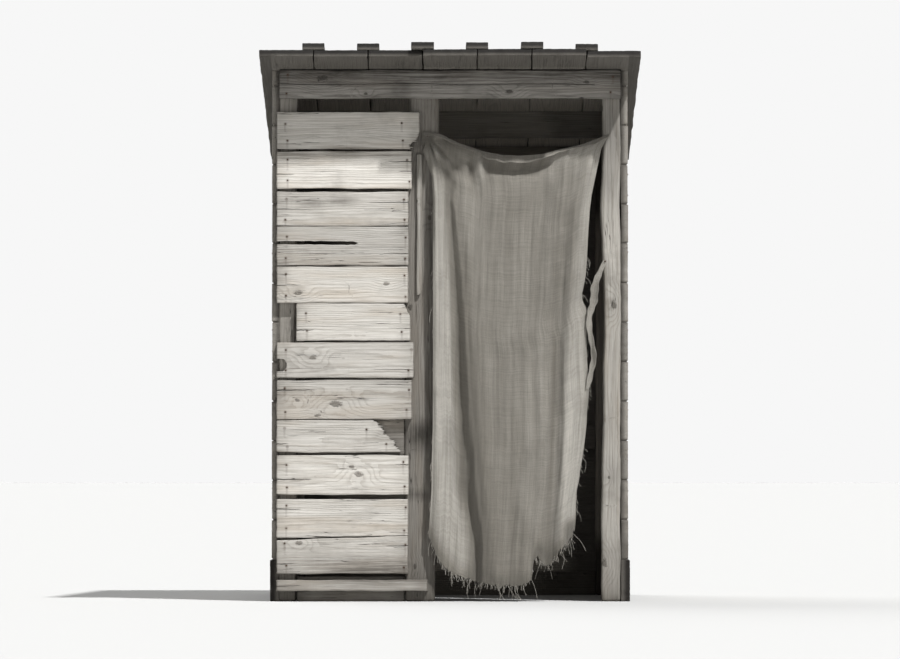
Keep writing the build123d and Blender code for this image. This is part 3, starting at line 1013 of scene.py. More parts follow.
class OUTHOUSE_OT_timbers(bpy.types.Operator):
    """Hew the posts, plates, rails, girts and sills"""

    bl_idname = "outhouse.timbers"
    bl_label = "Posts and timbers"

    def execute(self, context):
        timber = context.scene.outhouse_timber
        rng = random.Random(timber.seed)
        mark = bench_mark()
        for node in TIMBERS:
            low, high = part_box(node)
            turn = timber_turn(node, low, high)
            solid = solids_of(node, turn)[0]
            if "post" in node:
                piece = make_plank(solid, turn, POST_STEP, rng, mark, timber.waney, bands=3, bend=timber.bend)
            else:
                piece = make_plank(solid, turn, BEAM_STEP, rng, mark, bands=3)
            if "plate" in node or "purlin" in node:
                under_roof(piece)
            if low.z < 0.01:
                on_ground(piece)
            stains_and_shade = POST_SHADOW_AND_MARKS if node == "door_post" else ()
            mark_grain(piece, solid, turn, rng, stains_and_shade=stains_and_shade, patches_and_light=PATCHES_AND_PAINTED_LIGHT.get(node, ()))
            if node in CROOKED:
                crook(piece, CROOKED[node])
            finish = "bleached_timber" if node == "corner_post_front_right" else "weathered_timber"
            dress(piece, f"timber_{node}", finish, [node])
        bpy.data.objects.remove(mark)
        return {"FINISHED"}


class OUTHOUSE_OT_door_stop(bpy.types.Operator):
    """Nail the broken stop strip to the door post"""

    bl_idname = "outhouse.door_stop"
    bl_label = "Door stop strip"

    def execute(self, context):
        timber = context.scene.outhouse_timber
        rng = random.Random(timber.seed + 6)
        mark = bench_mark()
        turn = bench_turn(UP, -REARWARD)
        solid = STOP_SIZE, STOP_MIDDLE
        piece = make_plank(solid, turn, timber.front_step, rng, mark, STOP_ARRIS)
        foot = STOP_MIDDLE.z - STOP_SIZE.x / 2
        left, right = (Vector((spot.x, foot + spot.y)) for spot in STOP_BREAK)
        teeth = [left]
        for index in range(1, 8):
            point = left.lerp(right, index / 8)
            point.y += rng.uniform(-STOP_TOOTH, STOP_TOOTH)
            teeth.append(point)
        below = foot - 0.03
        carve(piece, [front_cutter(teeth + [right, Vector((right.x, below)), Vector((left.x, below))])])
        mark_grain(piece, solid, turn, rng, tone=0.0)
        dress(piece, "door_stop_strip", "bleached_timber")
        bpy.data.objects.remove(mark)
        return {"FINISHED"}


class OUTHOUSE_OT_front_boards(bpy.types.Operator):
    """Nail up the front boards, with the damage that age has done"""

    bl_idname = "outhouse.front_boards"
    bl_label = "Front boards"

    def execute(self, context):
        timber = context.scene.outhouse_timber
        rng = random.Random(timber.seed + 1)
        mark = bench_mark()
        turn = bench_turn(RIGHT, -REARWARD)
        for number, node in enumerate(FRONT_BOARDS + ["front_bottom_strip"], start=1):
            size, middle = solids_of(node, turn)[0]
            raised = RAISED_TOPS.get(number, 0.0)
            size.y += raised
            middle.z += raised / 2
            rips = joint_rips(number, size)
            if number == SHORT:
                size.x += SHORT_BY
                middle.x -= SHORT_BY / 2
            solid = size, middle
            piece = make_plank(solid, turn, timber.front_step, rng, mark, rips=rips)
            cutters = front_wear(number, *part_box(node), rng)
            if cutters:
                carve(piece, cutters)
            tone = BOARD_TONES.get(number, rng.uniform(0.45, 0.75))
            mark_grain(piece, solid, turn, rng, FRONT_KNOTS, FRONT_STAINS_AND_SHADE, tone)
            name = node.replace("front_board", "front_plank").replace("strip", "slat")
            dress(piece, name, "weathered_wall", [node])
        bpy.data.objects.remove(mark)
        return {"FINISHED"}


class OUTHOUSE_OT_header(bpy.types.Operator):
    """Put up the dark board over the doorway"""

    bl_idname = "outhouse.header"
    bl_label = "Header board"

    def execute(self, context):
        timber = context.scene.outhouse_timber
        rng = random.Random(timber.seed + 2)
        mark = bench_mark()
        turn = bench_turn(RIGHT, -REARWARD)
        solid = solids_of("header_board", turn)[0]
        piece = make_plank(solid, turn, timber.front_step, rng, mark)
        under_roof(piece)
        low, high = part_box("header_board")
        seam = []
        for share in (0.0, 0.12, 0.25, 0.4, 0.55, 0.7, 0.85, 0.94):
            across = low.x + share * (high.x - low.x) - 0.02
            seam.append(Vector((across, HEADER_SEAM + rng.uniform(-0.003, 0.003))))
        half = Vector((0, SEAM_HALF))
        outline = [spot + half for spot in seam] + [spot - half for spot in seam[::-1]]
        carve(piece, [front_cutter(outline, low.y - FRONT_FACE + CUTTER_START + SEAM_DEPTH)])
        mark_grain(piece, solid, turn, rng, HEADER_KNOTS, HEADER_PAINTED_SHADE)
        dress(piece, "header_plank", "weathered_header", ["header_board"])
        bpy.data.objects.remove(mark)
        return {"FINISHED"}


class OUTHOUSE_OT_walls(bpy.types.Operator):
    """Nail up the boards of the side and rear walls and the planks at their feet"""

    bl_idname = "outhouse.walls"
    bl_label = "Side and rear walls"

    def execute(self, context):
        timber = context.scene.outhouse_timber
        rng = random.Random(timber.seed + 3)
        mark = bench_mark()
        for side, outward in HIDDEN_WALLS:
            node = f"{side}_wall_boards"
            piece = wall(node, f"{side}_wall_planks", outward, rng, mark)
            dress(piece, f"{side}_wall_planks", "weathered_wall", [node])
            node = f"{side}_base_plank"
            turn = wall_turn(outward)
            solid = solids_of(node, turn)[0]
            piece = make_plank(solid, turn, timber.step, rng, mark)
            on_ground(piece)
            mark_grain(piece, solid, turn, rng)
            dress(piece, f"{side}_ground_plank", "damp_base", [node])
        bpy.data.objects.remove(mark)
        return {"FINISHED"}


def least_trim(x):
    """Least share of the most trim that a roof board or batten has, by its place across."""
    return 0.55 if x < -0.1 else 0.85 if x > 0.48 else 0.02


class OUTHOUSE_OT_roof(bpy.types.Operator):
    """Lay the roof boards and the battens over their joints"""

    bl_idname = "outhouse.roof"
    bl_label = "Roof"

    def execute(self, context):
        timber = context.scene.outhouse_timber
        rng = random.Random(timber.seed + 4)
        mark = bench_mark()
        turn = bench_turn(DOWN_ROOF, OFF_ROOF)
        for node, name in (("roof_boards", "roof_planks"), ("roof_battens", "roof_cover_strips")):
            planks = []
            for size, middle in solids_of(node, turn):
                least = least_trim(middle.x)
                front = timber.roof_trim * rng.uniform(least, least + 0.15)
                rear = timber.roof_trim * rng.uniform(0.05, 0.5)
                size = size + Vector((-front - rear, timber.roof_joint, -0.001))
                solid = size, middle + DOWN_ROOF * (front - rear) / 2
                plank = make_plank(solid, turn, timber.step, rng, mark)
                mark_grain(plank, solid, turn, rng)
                planks.append(plank)
            dress(join(planks, name), name, "weathered_roof", [node])
        bpy.data.objects.remove(mark)
        return {"FINISHED"}


# Cloth
# Its edges as seen from the front. The rim and the hem are given across and up, the sides up and across.
RIM = (
    (-0.100, 1.700), (-0.035, 1.690), (0.035, 1.656), (0.120, 1.627), (0.180, 1.615), (0.250, 1.611),
    (0.330, 1.617), (0.400, 1.634), (0.480, 1.652), (0.575, 1.690),
)
HEM = (
    (-0.078, 0.240), (-0.062, 0.205), (-0.046, 0.162), (-0.026, 0.134), (-0.004, 0.112), (0.016, 0.099),
    (0.052, 0.088), (0.085, 0.076), (0.120, 0.067), (0.160, 0.060), (0.215, 0.058), (0.262, 0.060),
    (0.286, 0.068), (0.300, 0.088), (0.304, 0.128), (0.312, 0.158), (0.322, 0.166), (0.334, 0.150),
    (0.342, 0.134), (0.352, 0.126), (0.366, 0.128), (0.374, 0.150), (0.388, 0.166), (0.402, 0.190),
    (0.424, 0.206), (0.440, 0.236), (0.458, 0.262), (0.461, 0.300),
)
RIGHT_EDGE = (
    (0.300, 0.456), (0.353, 0.456), (0.392, 0.458), (0.430, 0.460), (0.468, 0.469), (0.506, 0.474),
    (0.544, 0.481), (0.583, 0.487), (0.621, 0.492), (0.659, 0.496), (0.697, 0.497), (0.735, 0.502),
    (0.774, 0.504), (0.870, 0.497), (0.955, 0.494), (1.022, 0.497), (1.060, 0.494), (1.090, 0.480),
    (1.117, 0.478), (1.156, 0.487), (1.194, 0.493), (1.250, 0.497), (1.350, 0.502), (1.420, 0.507),
    (1.471, 0.513), (1.566, 0.533), (1.640, 0.548), (1.690, 0.575),
)
LEFT_EDGE = (
    (0.240, -0.078), (0.320, -0.072), (0.400, -0.067), (0.500, -0.066), (0.640, -0.062), (0.900, -0.061),
    (1.450, -0.062), (1.540, -0.066), (1.590, -0.082), (1.640, -0.104), (1.700, -0.100),
)
NAIL_LEFT, NAIL_RIGHT = Vector((-0.082, 1.688)), Vector((0.562, 1.680))
# Crests and hollows of the folds from left to right: at each height the place across, how far forward the
# cloth stands there as a share of the depth of the folds,
# and how pale it is there: bleaching, with painted light on the crests and a painted shadow in the dark
# hollows
FOLD_HEIGHTS = (0.20, 0.42, 0.80, 1.15, 1.45, 1.62)
LEFT_DEPTH, LEFT_BLEACH_AND_LIGHT = (0.62, 0.74, 0.80, 0.80, 0.70, 0.42), (0.70, 0.85, 0.85, 0.75, 0.55, 0.42)
RIGHT_DEPTH, RIGHT_BLEACH_AND_LIGHT = (0.06, 0.06, 0.08, 0.12, 0.12, 0.10), (0.80, 0.85, 0.80, 0.70, 0.85, 0.85)
FOLDS = (
    ((-0.040, -0.046, -0.048, -0.048, -0.052, -0.066), (0.90, 0.98, 1.00, 1.00, 0.94, 0.64),
     (0.80, 0.85, 0.90, 0.90, 0.84, 0.50)),
    ((0.026, 0.005, -0.005, -0.012, -0.028, -0.030), (0.62, 0.55, 0.42, 0.42, 0.50, 0.40),
     (0.78, 0.84, 0.92, 0.90, 0.66, 0.40)),
    ((0.068, 0.027, 0.014, 0.002, -0.014, -0.008), (0.14, 0.08, 0.06, 0.14, 0.28, 0.32),
     (0.50, 0.55, 0.45, 0.42, 0.44, 0.30)),
    ((0.092, 0.060, 0.036, 0.021, -0.002, 0.012), (0.10, 0.06, 0.08, 0.18, 0.32, 0.36),
     (0.08, 0.05, 0.12, 0.30, 0.40, 0.30)),
    ((0.124, 0.100, 0.072, 0.050, 0.018, 0.040), (0.74, 0.78, 0.74, 0.68, 0.62, 0.52),
     (0.05, 0.06, 0.14, 0.28, 0.44, 0.36)),
    ((0.168, 0.130, 0.100, 0.082, 0.054, 0.070), (0.90, 0.95, 0.90, 0.84, 0.78, 0.58),
     (0.30, 0.28, 0.36, 0.44, 0.52, 0.42)),
    ((0.225, 0.196, 0.168, 0.144, 0.120, 0.130), (0.74, 0.76, 0.76, 0.74, 0.70, 0.50),
     (0.34, 0.38, 0.42, 0.44, 0.42, 0.45)),
    ((0.275, 0.262, 0.256, 0.240, 0.225, 0.230), (0.80, 0.80, 0.78, 0.76, 0.72, 0.56),
     (0.34, 0.42, 0.44, 0.44, 0.42, 0.45)),
    ((0.306, 0.312, 0.318, 0.314, 0.305, 0.320), (0.74, 0.74, 0.74, 0.72, 0.68, 0.52),
     (0.40, 0.50, 0.52, 0.46, 0.42, 0.50)),
    ((0.330, 0.340, 0.350, 0.356, 0.374, 0.400), (0.66, 0.68, 0.70, 0.70, 0.68, 0.60),
     (0.36, 0.46, 0.46, 0.44, 0.42, 0.58)),
    ((0.350, 0.362, 0.374, 0.390, 0.420, 0.450), (0.46, 0.44, 0.48, 0.54, 0.62, 0.56),
     (0.34, 0.32, 0.32, 0.40, 0.40, 0.64)),
    ((0.364, 0.376, 0.390, 0.404, 0.432, 0.475), (0.50, 0.48, 0.52, 0.58, 0.66, 0.58),
     (0.42, 0.44, 0.42, 0.42, 0.42, 0.72)),
    ((0.398, 0.414, 0.426, 0.436, 0.462, 0.505), (0.96, 1.00, 1.00, 0.96, 0.90, 0.64),
     (0.84, 1.00, 0.95, 0.42, 0.42, 0.80)),
)
# Darker places: across, up, wide, high, and how much less pale
DARKER_PLACES = (
    (0.338, 0.160, 0.036, 0.042, 0.40), (0.438, 0.262, 0.032, 0.038, 0.90),
    (0.405, 0.205, 0.030, 0.030, 0.30),
)
# The turned edge gets a low crest value: a painted shade, as under the roof.
TURNED_PAINTED_SHADE, STRIP_BLEACH = 0.40, 0.75
RIPPLE_BLEACH_AND_LIGHT = 18             # how much paler the cloth is for each metre that a small fold stands forward: bleaching, with painted light on the small crests and painted shade in their hollows
HEM_FRAY = 0.005               # how far the torn hem wanders up and down
# Small ripples of the cloth: width and height of one, the start of its noise, and its depth
RIPPLES = ((0.014, 0.30), 8.7, 0.0013), ((0.07, 0.09), 5.3, 0.0020), ((0.020, 0.024), 6.1, 0.0006)
# Pleats from the nails: the nail, their depth, how far they reach, and how close they lie
PLEATS = (NAIL_LEFT, 0.0150, 0.135, 6.5), (NAIL_RIGHT, 0.0085, 0.110, 5.0)
AT_NAIL, BY_NAIL = 0.003, 0.07    # how far forward the cloth is at a nail, and how far round it that shows
ON_POST, BEHIND_POST = 0.0025, 0.02    # least place in front of a post, and how far back it may hang past one
# Chances that a loose yarn hangs from the hem, or from the hem or the right edge, and that it is short
YARN_AT_HEM, YARN_AT_RIGHT, YARN_SHORT = 0.76, 0.93, 0.82
LEAST_HEIGHT = 0.004           # of a loose yarn's points over the ground
# A strip torn off the right edge, from the nail on the post down to the cloth: across, up, forward and wide
STRIP_WIDTH = 0.022            # flat, on average
TORN_STRIP = (
    (0.562, 1.236, 0.004, 0.010), (0.549, 1.205, 0.008, 0.018), (0.537, 1.180, 0.014, 0.024),
    (0.527, 1.156, 0.020, 0.028), (0.523, 1.130, 0.021, 0.030), (0.523, 1.100, 0.018, 0.028),
    (0.520, 1.080, 0.015, 0.026), (0.512, 1.060, 0.013, 0.024), (0.505, 1.040, 0.012, 0.020),
    (0.503, 1.000, 0.014, 0.020), (0.507, 0.970, 0.018, 0.018), (0.513, 0.940, 0.021, 0.018),
    (0.519, 0.910, 0.022, 0.021), (0.522, 0.885, 0.021, 0.023), (0.518, 0.860, 0.018, 0.020),
    (0.511, 0.835, 0.015, 0.018), (0.506, 0.800, 0.012, 0.018), (0.497, 0.768, 0.010, 0.014),
)


def along(table, value):
    """Reads a table of rising pairs at a value, with straight runs between them."""
    return np.interp(value, *zip(*table))


def ease(value):
    value = np.clip(value, 0, 1)
    return value * value * (3 - 2 * value)


def bump_at(value, middle, reach):
    return np.exp(-(((value - middle) / reach) ** 2))


def roughness_at(spots, size, seed):
    """Smooth chance values from about -1 to 1 at points, with the size of one swell along each axis."""
    values = [noise.noise(Vector((spot[0] / size[0], spot[1] / size[1], seed))) for spot in spots]
    return np.array(values) * 1.6


def level_at(z, table):
    """Reads a value of the folds at some heights."""
    return np.interp(z, FOLD_HEIGHTS, table)


def across_folds(x, z, left, right):
    """How far forward a row stands, as a share of the folds' depth, and how pale it is, by bleaching and by
    painted light and shade.
    """
    places = [np.full_like(x, left)] + [level_at(z, fold[0]) for fold in FOLDS] + [np.full_like(x, right)]
    for index in range(1, len(places)):
        places[index] = np.maximum(places[index], places[index - 1] + 0.003)
    over = np.maximum(places[-1] - right, 0)
    places = [place - over * ease((place - left) / (right - left)) for place in places]
    results = []
    for first, row, last in ((LEFT_DEPTH, 1, RIGHT_DEPTH), (LEFT_BLEACH_AND_LIGHT, 2, RIGHT_BLEACH_AND_LIGHT)):
        levels = [level_at(z, table) for table in (first, *(fold[row] for fold in FOLDS), last)]
        result = levels[0]
        for index in range(1, len(places)):
            start, stop = places[index - 1], places[index]
            share = ease((x - start) / np.maximum(stop - start, 1e-4))
            level = levels[index - 1] + (levels[index] - levels[index - 1]) * share
            result = np.where(x >= start, level, result)
        results.append(result)
    return results


def crumple(x, z, across, hang):
    """Small folds: ripples that run down the cloth, pleats from the two nails, and the swag under the rim."""
    spots = np.column_stack((across, z))
    middle = ease((x - 0.02) / 0.08) * ease((0.47 - x) / 0.06)
    depth = roughness_at(spots, (0.040, 0.60), 3.1) * 0.0028 * (0.35 + 0.65 * middle)
    for size, seed, height in RIPPLES:
        depth += roughness_at(spots, size, seed) * height
    for nail, strength, reach, pleats in PLEATS:
        run, drop = np.abs(x - nail.x), nail.y - z
        away = np.hypot(run, drop)
        turn = np.arctan2(drop, run + 1e-6)
        fan = roughness_at(np.column_stack((turn * pleats, away / 0.10)), (1, 1), nail.x * 9)
        depth += strength * fan * ease(away / 0.035) * np.exp(-((away / reach) ** 2))
    depth -= 0.012 * bump_at(hang, 0.045, 0.026) * ease((x - 0.10) / 0.05) * ease((0.42 - x) / 0.10)
    upper = bump_at(z, 1.560, 0.05)
    depth += (0.011 * bump_at(x, 0.112, 0.013) - 0.016 * bump_at(x, 0.078, 0.014)) * upper
    depth += 0.009 * bump_at(x, 0.000, 0.020) * bump_at(z, 1.602, 0.024)
    return depth


def hem_dirt_and_dark_places(x, z, hem, crest):
    """How pale a row is, less the dirt by the hem, and darker in the listed darker places."""
    dirty = ease((0.06 - x) / 0.08)
    rise = (z - hem) / (0.034 + 0.022 * dirty)
    crest = crest - (0.38 + 0.25 * dirty) * np.exp(-(rise ** 2))
    for place, height, wide, high, less in DARKER_PLACES:
        crest = crest - less * np.exp(-(((x - place) / wide) ** 2 + ((z - height) / high) ** 2))
    return crest


def held(x, z, depth):
    """Draws a row in to the nails, and keeps it in front of the two posts."""
    for nail in (NAIL_LEFT, NAIL_RIGHT):
        free = ease(np.hypot(x - nail.x, z - nail.y) / BY_NAIL)
        depth = AT_NAIL + (depth - AT_NAIL) * free
    on_post = np.maximum(ease((-0.045 - x) / 0.02), ease((x - 0.545) / 0.02))
    return np.maximum(depth, ON_POST * on_post - BEHIND_POST * (1 - on_post))


def hanging_rows(cloth):
    """Rows of points of the hanging cloth from its rim to its hem, and how pale it is there, by bleaching and
    by painted light and shade.
    """
    fine = np.linspace(0, 1, 5 * cloth.columns)
    share = np.linspace(0, 1, cloth.columns + 1)
    rim = along(RIM, RIM[0][0] + (RIM[-1][0] - RIM[0][0]) * fine)
    hem_across = HEM[0][0] + (HEM[-1][0] - HEM[0][0]) * fine
    hem = along(HEM, hem_across)
    rng = random.Random(HEM_SEED)
    fray = np.interp(fine, share, [rng.uniform(-HEM_FRAY, HEM_FRAY) for _ in share])
    fray = fray * (1 + 1.6 * ease((hem_across - 0.27) / 0.04))
    rows, paleness = [], []
    for index in range(cloth.rows + 1):
        down = index / cloth.rows
        z = rim * (1 - down) + (hem + fray * ease((down - 0.9) / 0.1)) * down
        left, right = float(along(LEFT_EDGE, z[0])), float(along(RIGHT_EDGE, z[-1]))
        x = left + (right - left) * fine
        folds, crest = across_folds(x, z, left, right)
        folds = folds * cloth.depth

        # Points at even distances along the folded cloth
        run = np.concatenate(([0], np.cumsum(np.hypot(np.diff(x), np.diff(folds)))))
        at = np.interp(share * run[-1], run, fine)
        x, z, folds, crest = (np.interp(at, fine, values) for values in (x, z, folds, crest))
        top, foot = np.interp(at, fine, rim), np.interp(at, fine, hem)
        depth = held(x, z, folds + crumple(x, z, share * cloth.flat_width, top - z))
        rows.append(np.column_stack((x, FRONT_FACE - depth, z)))
        # Paleness by bleaching, with painted light and shade that follow the folds and the small folds
        paleness.append(np.clip(hem_dirt_and_dark_places(x, z, foot, crest) + RIPPLE_BLEACH_AND_LIGHT * (depth - folds), 0, 1))
    return rows, paleness


def turned_rows(top, cloth):
    """Rows of the edge that is turned over to the front, from its free edge up to the rim and round it."""
    count = 9
    reach = cloth.turned * ease((top[:, 0] - 0.100) / 0.030) * ease((0.42 - top[:, 0]) / 0.16) + 0.008
    reach += roughness_at(top[:, [0, 2]], (0.03, 1), 2.2) * 0.004
    rows = []
    for index in range(count):
        share = 1 - index / count
        row = top.copy()
        row[:, 1] -= 0.004 + cloth.stand_off * share * np.minimum(reach / cloth.turned, 1)
        row[:, 2] -= reach * share
        rows.append(row)
    for degrees in (60, 110, 150):
        row = top.copy()
        row[:, 1] -= 0.002 * (1 + math.cos(math.radians(degrees)))
        row[:, 2] += 0.003 * math.sin(math.radians(degrees))
        rows.append(row)
    return rows


def sheet_mesh(name, rows, width, crest, thickness):
    """A sheet through rows of points, with its flat measure as a map and a rim of its own thickness."""
    grid = np.array(rows)
    down, across = grid.shape[0] - 1, grid.shape[1] - 1
    clear_selection()
    bpy.ops.mesh.primitive_grid_add(x_subdivisions=across, y_subdivisions=down, size=1)
    piece = bpy.context.object
    rename(piece, name)
    mesh = piece.data
    mesh.vertices.foreach_set("co", grid.astype(np.float32).ravel())
    steps = np.linalg.norm(np.diff(grid, axis=0), axis=2)
    fall = np.concatenate((np.zeros((1, across + 1)), np.cumsum(steps, axis=0)))
    flat = np.stack((np.broadcast_to(np.linspace(0, width, across + 1), fall.shape), -fall), axis=2)
    layer = mesh.uv_layers.active
    layer.name = "flat"
    corners = np.empty(len(mesh.loops), np.int32)
    mesh.loops.foreach_get("vertex_index", corners)
    layer.data.foreach_set("uv", flat.reshape(-1, 2)[corners].astype(np.float32).ravel())
    write_layer(mesh, "crest", np.ravel(crest))
    mesh.update()
    edit_all(piece)
    face_outward()
    apply_modifier(piece, "SOLIDIFY", thickness=thickness, offset=0)
    soften(piece, 60)
    return piece


def torn_strip(cloth):
    """The strip torn off the right edge, which twists as it hangs."""
    count, across = 90, 5
    share = np.linspace(0, 1, count)
    knots = np.linspace(0, 1, len(TORN_STRIP))
    right, up, forward, wide = (np.interp(share, knots, values) for values in zip(*TORN_STRIP))
    centre = np.column_stack((right, FRONT_FACE - forward, up))
    for axis in range(3):
        padded = np.pad(centre[:, axis], 4, mode="reflect", reflect_type="odd")
        centre[:, axis] = np.convolve(padded, np.ones(9) / 9, mode="valid")
    rows = []
    for index, spot in enumerate(centre):
        ahead = centre[min(index + 1, count - 1)] - centre[max(index - 1, 0)]
        run = Vector(ahead).normalized()
        side = run.cross(REARWARD).normalized()
        side = Matrix.Rotation(0.5 * math.sin(11 * index / count) + 0.15, 3, run) @ side
        curl = side.cross(run)
        width = wide[index] * (1 + 0.12 * math.sin(index * 0.7))
        row = []
        for step in range(across + 1):
            place = step / across - 0.5
            row.append(Vector(spot) + side * place * width + curl * (0.25 - place * place) * 0.010)
        rows.append(row)
    crest = np.full((count, across + 1), STRIP_BLEACH)
    return sheet_mesh("torn_strip", rows, STRIP_WIDTH, crest, cloth.thickness)


def loose_yarns(rows, cloth):
    """Yarns that have come loose at the hem and at the torn right edge."""
    rng = random.Random(YARN_SEED)
    curve = bpy.data.curves.new("loose_yarns", "CURVE")
    curve.dimensions = "3D"
    curve.bevel_depth = 0.0005
    curve.bevel_resolution = 0
    curve.resolution_u = 3
    hem, last = rows[-1], len(rows) - 1
    for _ in range(cloth.yarns):
        where = rng.random()
        if where < YARN_AT_HEM:
            start = Vector(hem[rng.randrange(3, len(hem) - 2)])
            way = Vector((rng.gauss(0, 0.4), 0, -1))
        elif where < YARN_AT_RIGHT:
            start = Vector(rows[int(last * rng.uniform(0.30, 1.0))][-1])
            way = Vector((0.8, rng.gauss(0, 0.3), -0.6))
        else:
            start = Vector(rows[int(last * rng.uniform(0.1, 1.0))][0])
            way = Vector((-0.5, -0.3, -0.8))
        reach = rng.uniform(0.006, 0.020) if rng.random() < YARN_SHORT else rng.uniform(0.025, 0.055)
        drift = Vector((rng.gauss(0, 0.45), rng.gauss(0, 0.25), -0.9))
        spots = [start - way * 0.002, start + way * reach * 0.3]
        spots.append(spots[-1] + (way * 0.5 + drift * 0.6) * reach * 0.4)
        spots.append(spots[-1] + (drift + Vector((0, 0, -0.4))) * reach * 0.4)
        spline = curve.splines.new("NURBS")
        spline.points.add(len(spots) - 1)
        for point, spot in zip(spline.points, spots):
            point.co = (spot.x, spot.y, max(spot.z, LEAST_HEIGHT), 1)
        spline.order_u = 3
        spline.use_endpoint_u = True
    piece = bpy.data.objects.new("loose_yarns", curve)
    bpy.context.scene.collection.objects.link(piece)
    pick(piece)
    bpy.ops.object.convert(target="MESH")
    piece = bpy.context.object
    rename(piece, "loose_yarns")
    return piece


class OUTHOUSE_OT_curtain(bpy.types.Operator):
    """Hang the sackcloth in the doorway"""

    bl_idname = "outhouse.curtain"
    bl_label = "Sackcloth curtain"

    def execute(self, context):
        cloth = context.scene.outhouse_curtain
        rows, crest = hanging_rows(cloth)
        lead = turned_rows(rows[0], cloth)
        crest = [np.full(len(crest[0]), TURNED_PAINTED_SHADE)] * len(lead) + crest
        piece = sheet_mesh("sackcloth", lead + rows, cloth.flat_width, crest, cloth.thickness)
        finish_piece(piece, "sackcloth_weave", ["curtain"])
        strip = torn_strip(cloth)
        finish_piece(strip, "sackcloth_weave")
        yarns = loose_yarns(rows, cloth)
        finish_piece(yarns, "loose_yarn")
        return {"FINISHED"}


# Nails
@cache
def nail_spots():
    """Where the nail heads stand, and which way each one faces."""
    nails = []
    rng = random.Random(NAIL_SEED)
    post_inset = (FRONT_POST[1].x - FRONT_POST[0].x) / 2
    for number, node in enumerate(FRONT_BOARDS + ["header_board"], start=1):
        low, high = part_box(node)
        left_end = max(low.x, -FRONT_POST[1].x) + post_inset * 0.8
        right_end = high.x - 0.014 if node != "header_board" else FRONT_POST[1].x - post_inset
        for x, shifts in ((left_end, (0, 0)), (right_end, NAIL_SHIFTS.get(number, (0, 0)))):
            for share, shift in zip((0.22, 0.78), shifts):
                z = low.z + (share + rng.uniform(-0.05, 0.05)) * (high.z - low.z)
                across = x + rng.uniform(-0.006, 0.006) - shift
                nails.append((Vector((across, low.y, z)), -REARWARD))
    for side, outward in HIDDEN_WALLS:
        turn = wall_turn(outward)
        for size, middle in solids_of(f"{side}_wall_boards", turn):
            for end, share in ((-1, -0.28), (-1, 0.28), (1, -0.28), (1, 0.28)):
                local = Vector((end * (size.x / 2 - NAIL_INSET), share * size.y, size.z / 2))
                local += Vector((rng.uniform(-0.008, 0.008), rng.uniform(-0.008, 0.008), 0))
                spot = middle + turn @ local
                if (spot - Vector((0, FRONT_FACE, EAVES))).dot(OFF_ROOF) < -NAIL_BELOW_ROOF:
                    nails.append((spot, outward))
    turn = bench_turn(DOWN_ROOF, OFF_ROOF)
    for size, middle in solids_of("roof_battens", turn):
        for share in (-0.36, -0.12, 0.12, 0.36):
            local = Vector((share * size.x, rng.uniform(-0.01, 0.01), size.z / 2))
            nails.append((middle + turn @ local, OFF_ROOF))
    return nails


class OUTHOUSE_OT_nails(bpy.types.Operator):
    """Drive the nails through the boards and through the corners of the cloth"""

    bl_idname = "outhouse.nails"
    bl_label = "Nails"

    def execute(self, context):
        timber = context.scene.outhouse_timber
        rng = random.Random(timber.seed + 5)
        clear_selection()
        bpy.ops.mesh.primitive_cylinder_add(
            vertices=10, radius=timber.nail_head / 2, depth=NAIL_THICKNESS, location=(0, 0, 0)
        )
        first = context.object
        bevel_sharp_edges(first, NAIL_ARRIS, 1)
        spots = [(spot + outward * rng.uniform(-0.001, 0.0008), outward) for spot, outward in nail_spots()]
        for nail in (NAIL_LEFT, NAIL_RIGHT, Vector((TORN_STRIP[0][0], TORN_STRIP[0][1] - 0.004))):
            spots.append((Vector((nail.x, FRONT_FACE - CLOTH_NAIL_OUT, nail.y)), -REARWARD))
        heads = []
        for spot, outward in spots:
            head = first.copy()
            head.data = first.data.copy()
            context.scene.collection.objects.link(head)
            turn = outward.to_track_quat("Z", "Y").to_matrix().to_4x4()
            head.matrix_world = Matrix.Translation(spot) @ turn
            heads.append(head)
        bpy.data.objects.remove(first)
        pick(*heads)
        bpy.ops.object.transform_apply(location=True, rotation=True, scale=True)
        dress(join(heads, "nails"), "nails", "rusty_iron")
        return {"FINISHED"}


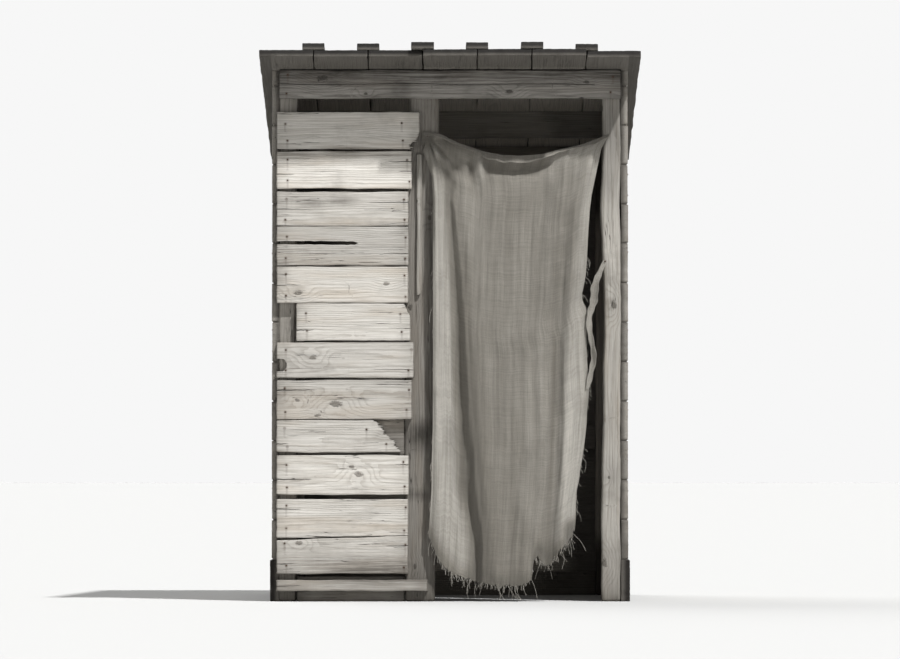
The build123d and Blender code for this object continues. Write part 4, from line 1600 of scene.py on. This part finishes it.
# Stage
class OUTHOUSE_OT_stage(bpy.types.Operator):
    """Set out the floor, the lights and the camera"""

    bl_idname = "outhouse.stage"
    bl_label = "Stage"

    def execute(self, context):
        stage = context.scene.outhouse_stage
        colours = context.scene.outhouse_colours
        clear_selection()
        bpy.ops.mesh.primitive_plane_add(size=400, location=(0, 0, 0))
        floor = context.object
        rename(floor, "floor")
        material, tree, shader = new_material("studio_floor")
        seen = add(tree, "ShaderNodeLightPath").outputs["Is Camera Ray"]
        tree.links.new(mix(tree, seen, colours.floor_bounce, colours.floor), shader.inputs["Base Color"])
        shader.inputs["Roughness"].default_value = 0.9
        shader.inputs["Specular IOR Level"].default_value = 0.0
        floor.data.materials.append(material)

        target = Vector((stage.aim_side, FRONT_FACE, stage.aim_height))
        eye = Vector((0, FRONT_FACE - stage.camera_distance, stage.eye_height))
        bpy.ops.object.camera_add(location=eye, rotation=(target - eye).to_track_quat("-Z", "Y").to_euler())
        camera = context.object
        camera.data.lens = stage.lens
        camera.data.clip_end = 500
        context.scene.camera = camera

        for name, strength, softness, height, side, way in (
            ("key_light", stage.key, stage.key_softness, stage.key_height, stage.key_side, -1),
            ("back_light", stage.back, stage.back_softness, stage.back_height, stage.back_side, 1),
        ):
            level = way * Vector((-math.sin(side), math.cos(side), 0))
            to_light = level * math.cos(height) + UP * math.sin(height)
            bpy.ops.object.light_add(
                type="SUN", location=to_light * 6, rotation=to_light.to_track_quat("Z", "Y").to_euler()
            )
            lamp = context.object
            lamp.name = name
            lamp.data.energy = strength
            lamp.data.angle = softness

        bpy.ops.object.light_add(type="POINT", location=ROOM_LAMP)
        lamp = context.object
        lamp.name = "room_light"
        lamp.data.energy = stage.room
        lamp.data.shadow_soft_size = ROOM_LAMP_RADIUS
        lamp.visible_camera = False

        world = bpy.data.worlds.new("studio")
        context.scene.world = world
        world.use_nodes = True
        tree = world.node_tree
        tree.nodes.clear()
        light, shown = (
            add(tree, "ShaderNodeBackground", {"Color": (1, 1, 1, 1), "Strength": strength}).outputs[0]
            for strength in (stage.sky, stage.backdrop)
        )
        seen = add(tree, "ShaderNodeLightPath").outputs["Is Camera Ray"]
        blend = add(tree, "ShaderNodeMixShader", {0: seen, 1: light, 2: shown}).outputs[0]
        add(tree, "ShaderNodeOutputWorld", {"Surface": blend})
        context.scene.view_settings.view_transform = "Standard"
        return {"FINISHED"}


class OUTHOUSE_PT_panel(bpy.types.Panel):
    """Sizes, colours and steps of the outhouse"""

    bl_label = "Outhouse"
    bl_idname = "OUTHOUSE_PT_panel"
    bl_space_type = "VIEW_3D"
    bl_region_type = "UI"
    bl_category = "Outhouse"

    def draw(self, context):
        layout = self.layout
        for heading, group in zip(("Timber", "Curtain", "Colours", "Stage"), settings()):
            box = layout.box()
            box.label(text=heading)
            for name in group.__annotations__:
                box.prop(group, name)
        for operator in OPERATORS:
            layout.operator(operator.bl_idname)


GROUPS = (OuthouseTimber, OuthouseCurtain, OuthouseColours, OuthouseStage)
OPERATORS = (
    OUTHOUSE_OT_timbers, OUTHOUSE_OT_door_stop, OUTHOUSE_OT_front_boards, OUTHOUSE_OT_header,
    OUTHOUSE_OT_walls, OUTHOUSE_OT_roof, OUTHOUSE_OT_curtain, OUTHOUSE_OT_nails, OUTHOUSE_OT_stage,
)
GROUP_NAMES = ("outhouse_timber", "outhouse_curtain", "outhouse_colours", "outhouse_stage")


def register():
    for item in GROUPS + OPERATORS + (OUTHOUSE_PT_panel,):
        bpy.utils.register_class(item)
    for name, group in zip(GROUP_NAMES, GROUPS):
        setattr(bpy.types.Scene, name, PointerProperty(type=group))


def unregister():
    for name in GROUP_NAMES:
        delattr(bpy.types.Scene, name)
    for item in reversed(GROUPS + OPERATORS + (OUTHOUSE_PT_panel,)):
        bpy.utils.unregister_class(item)


def main():
    register()
    bpy.ops.outhouse.timbers()
    bpy.ops.outhouse.door_stop()
    bpy.ops.outhouse.front_boards()
    bpy.ops.outhouse.header()
    bpy.ops.outhouse.walls()
    bpy.ops.outhouse.roof()
    bpy.ops.outhouse.curtain()
    bpy.ops.outhouse.nails()
    bpy.ops.outhouse.stage()


if __name__ == "__main__":
    main()
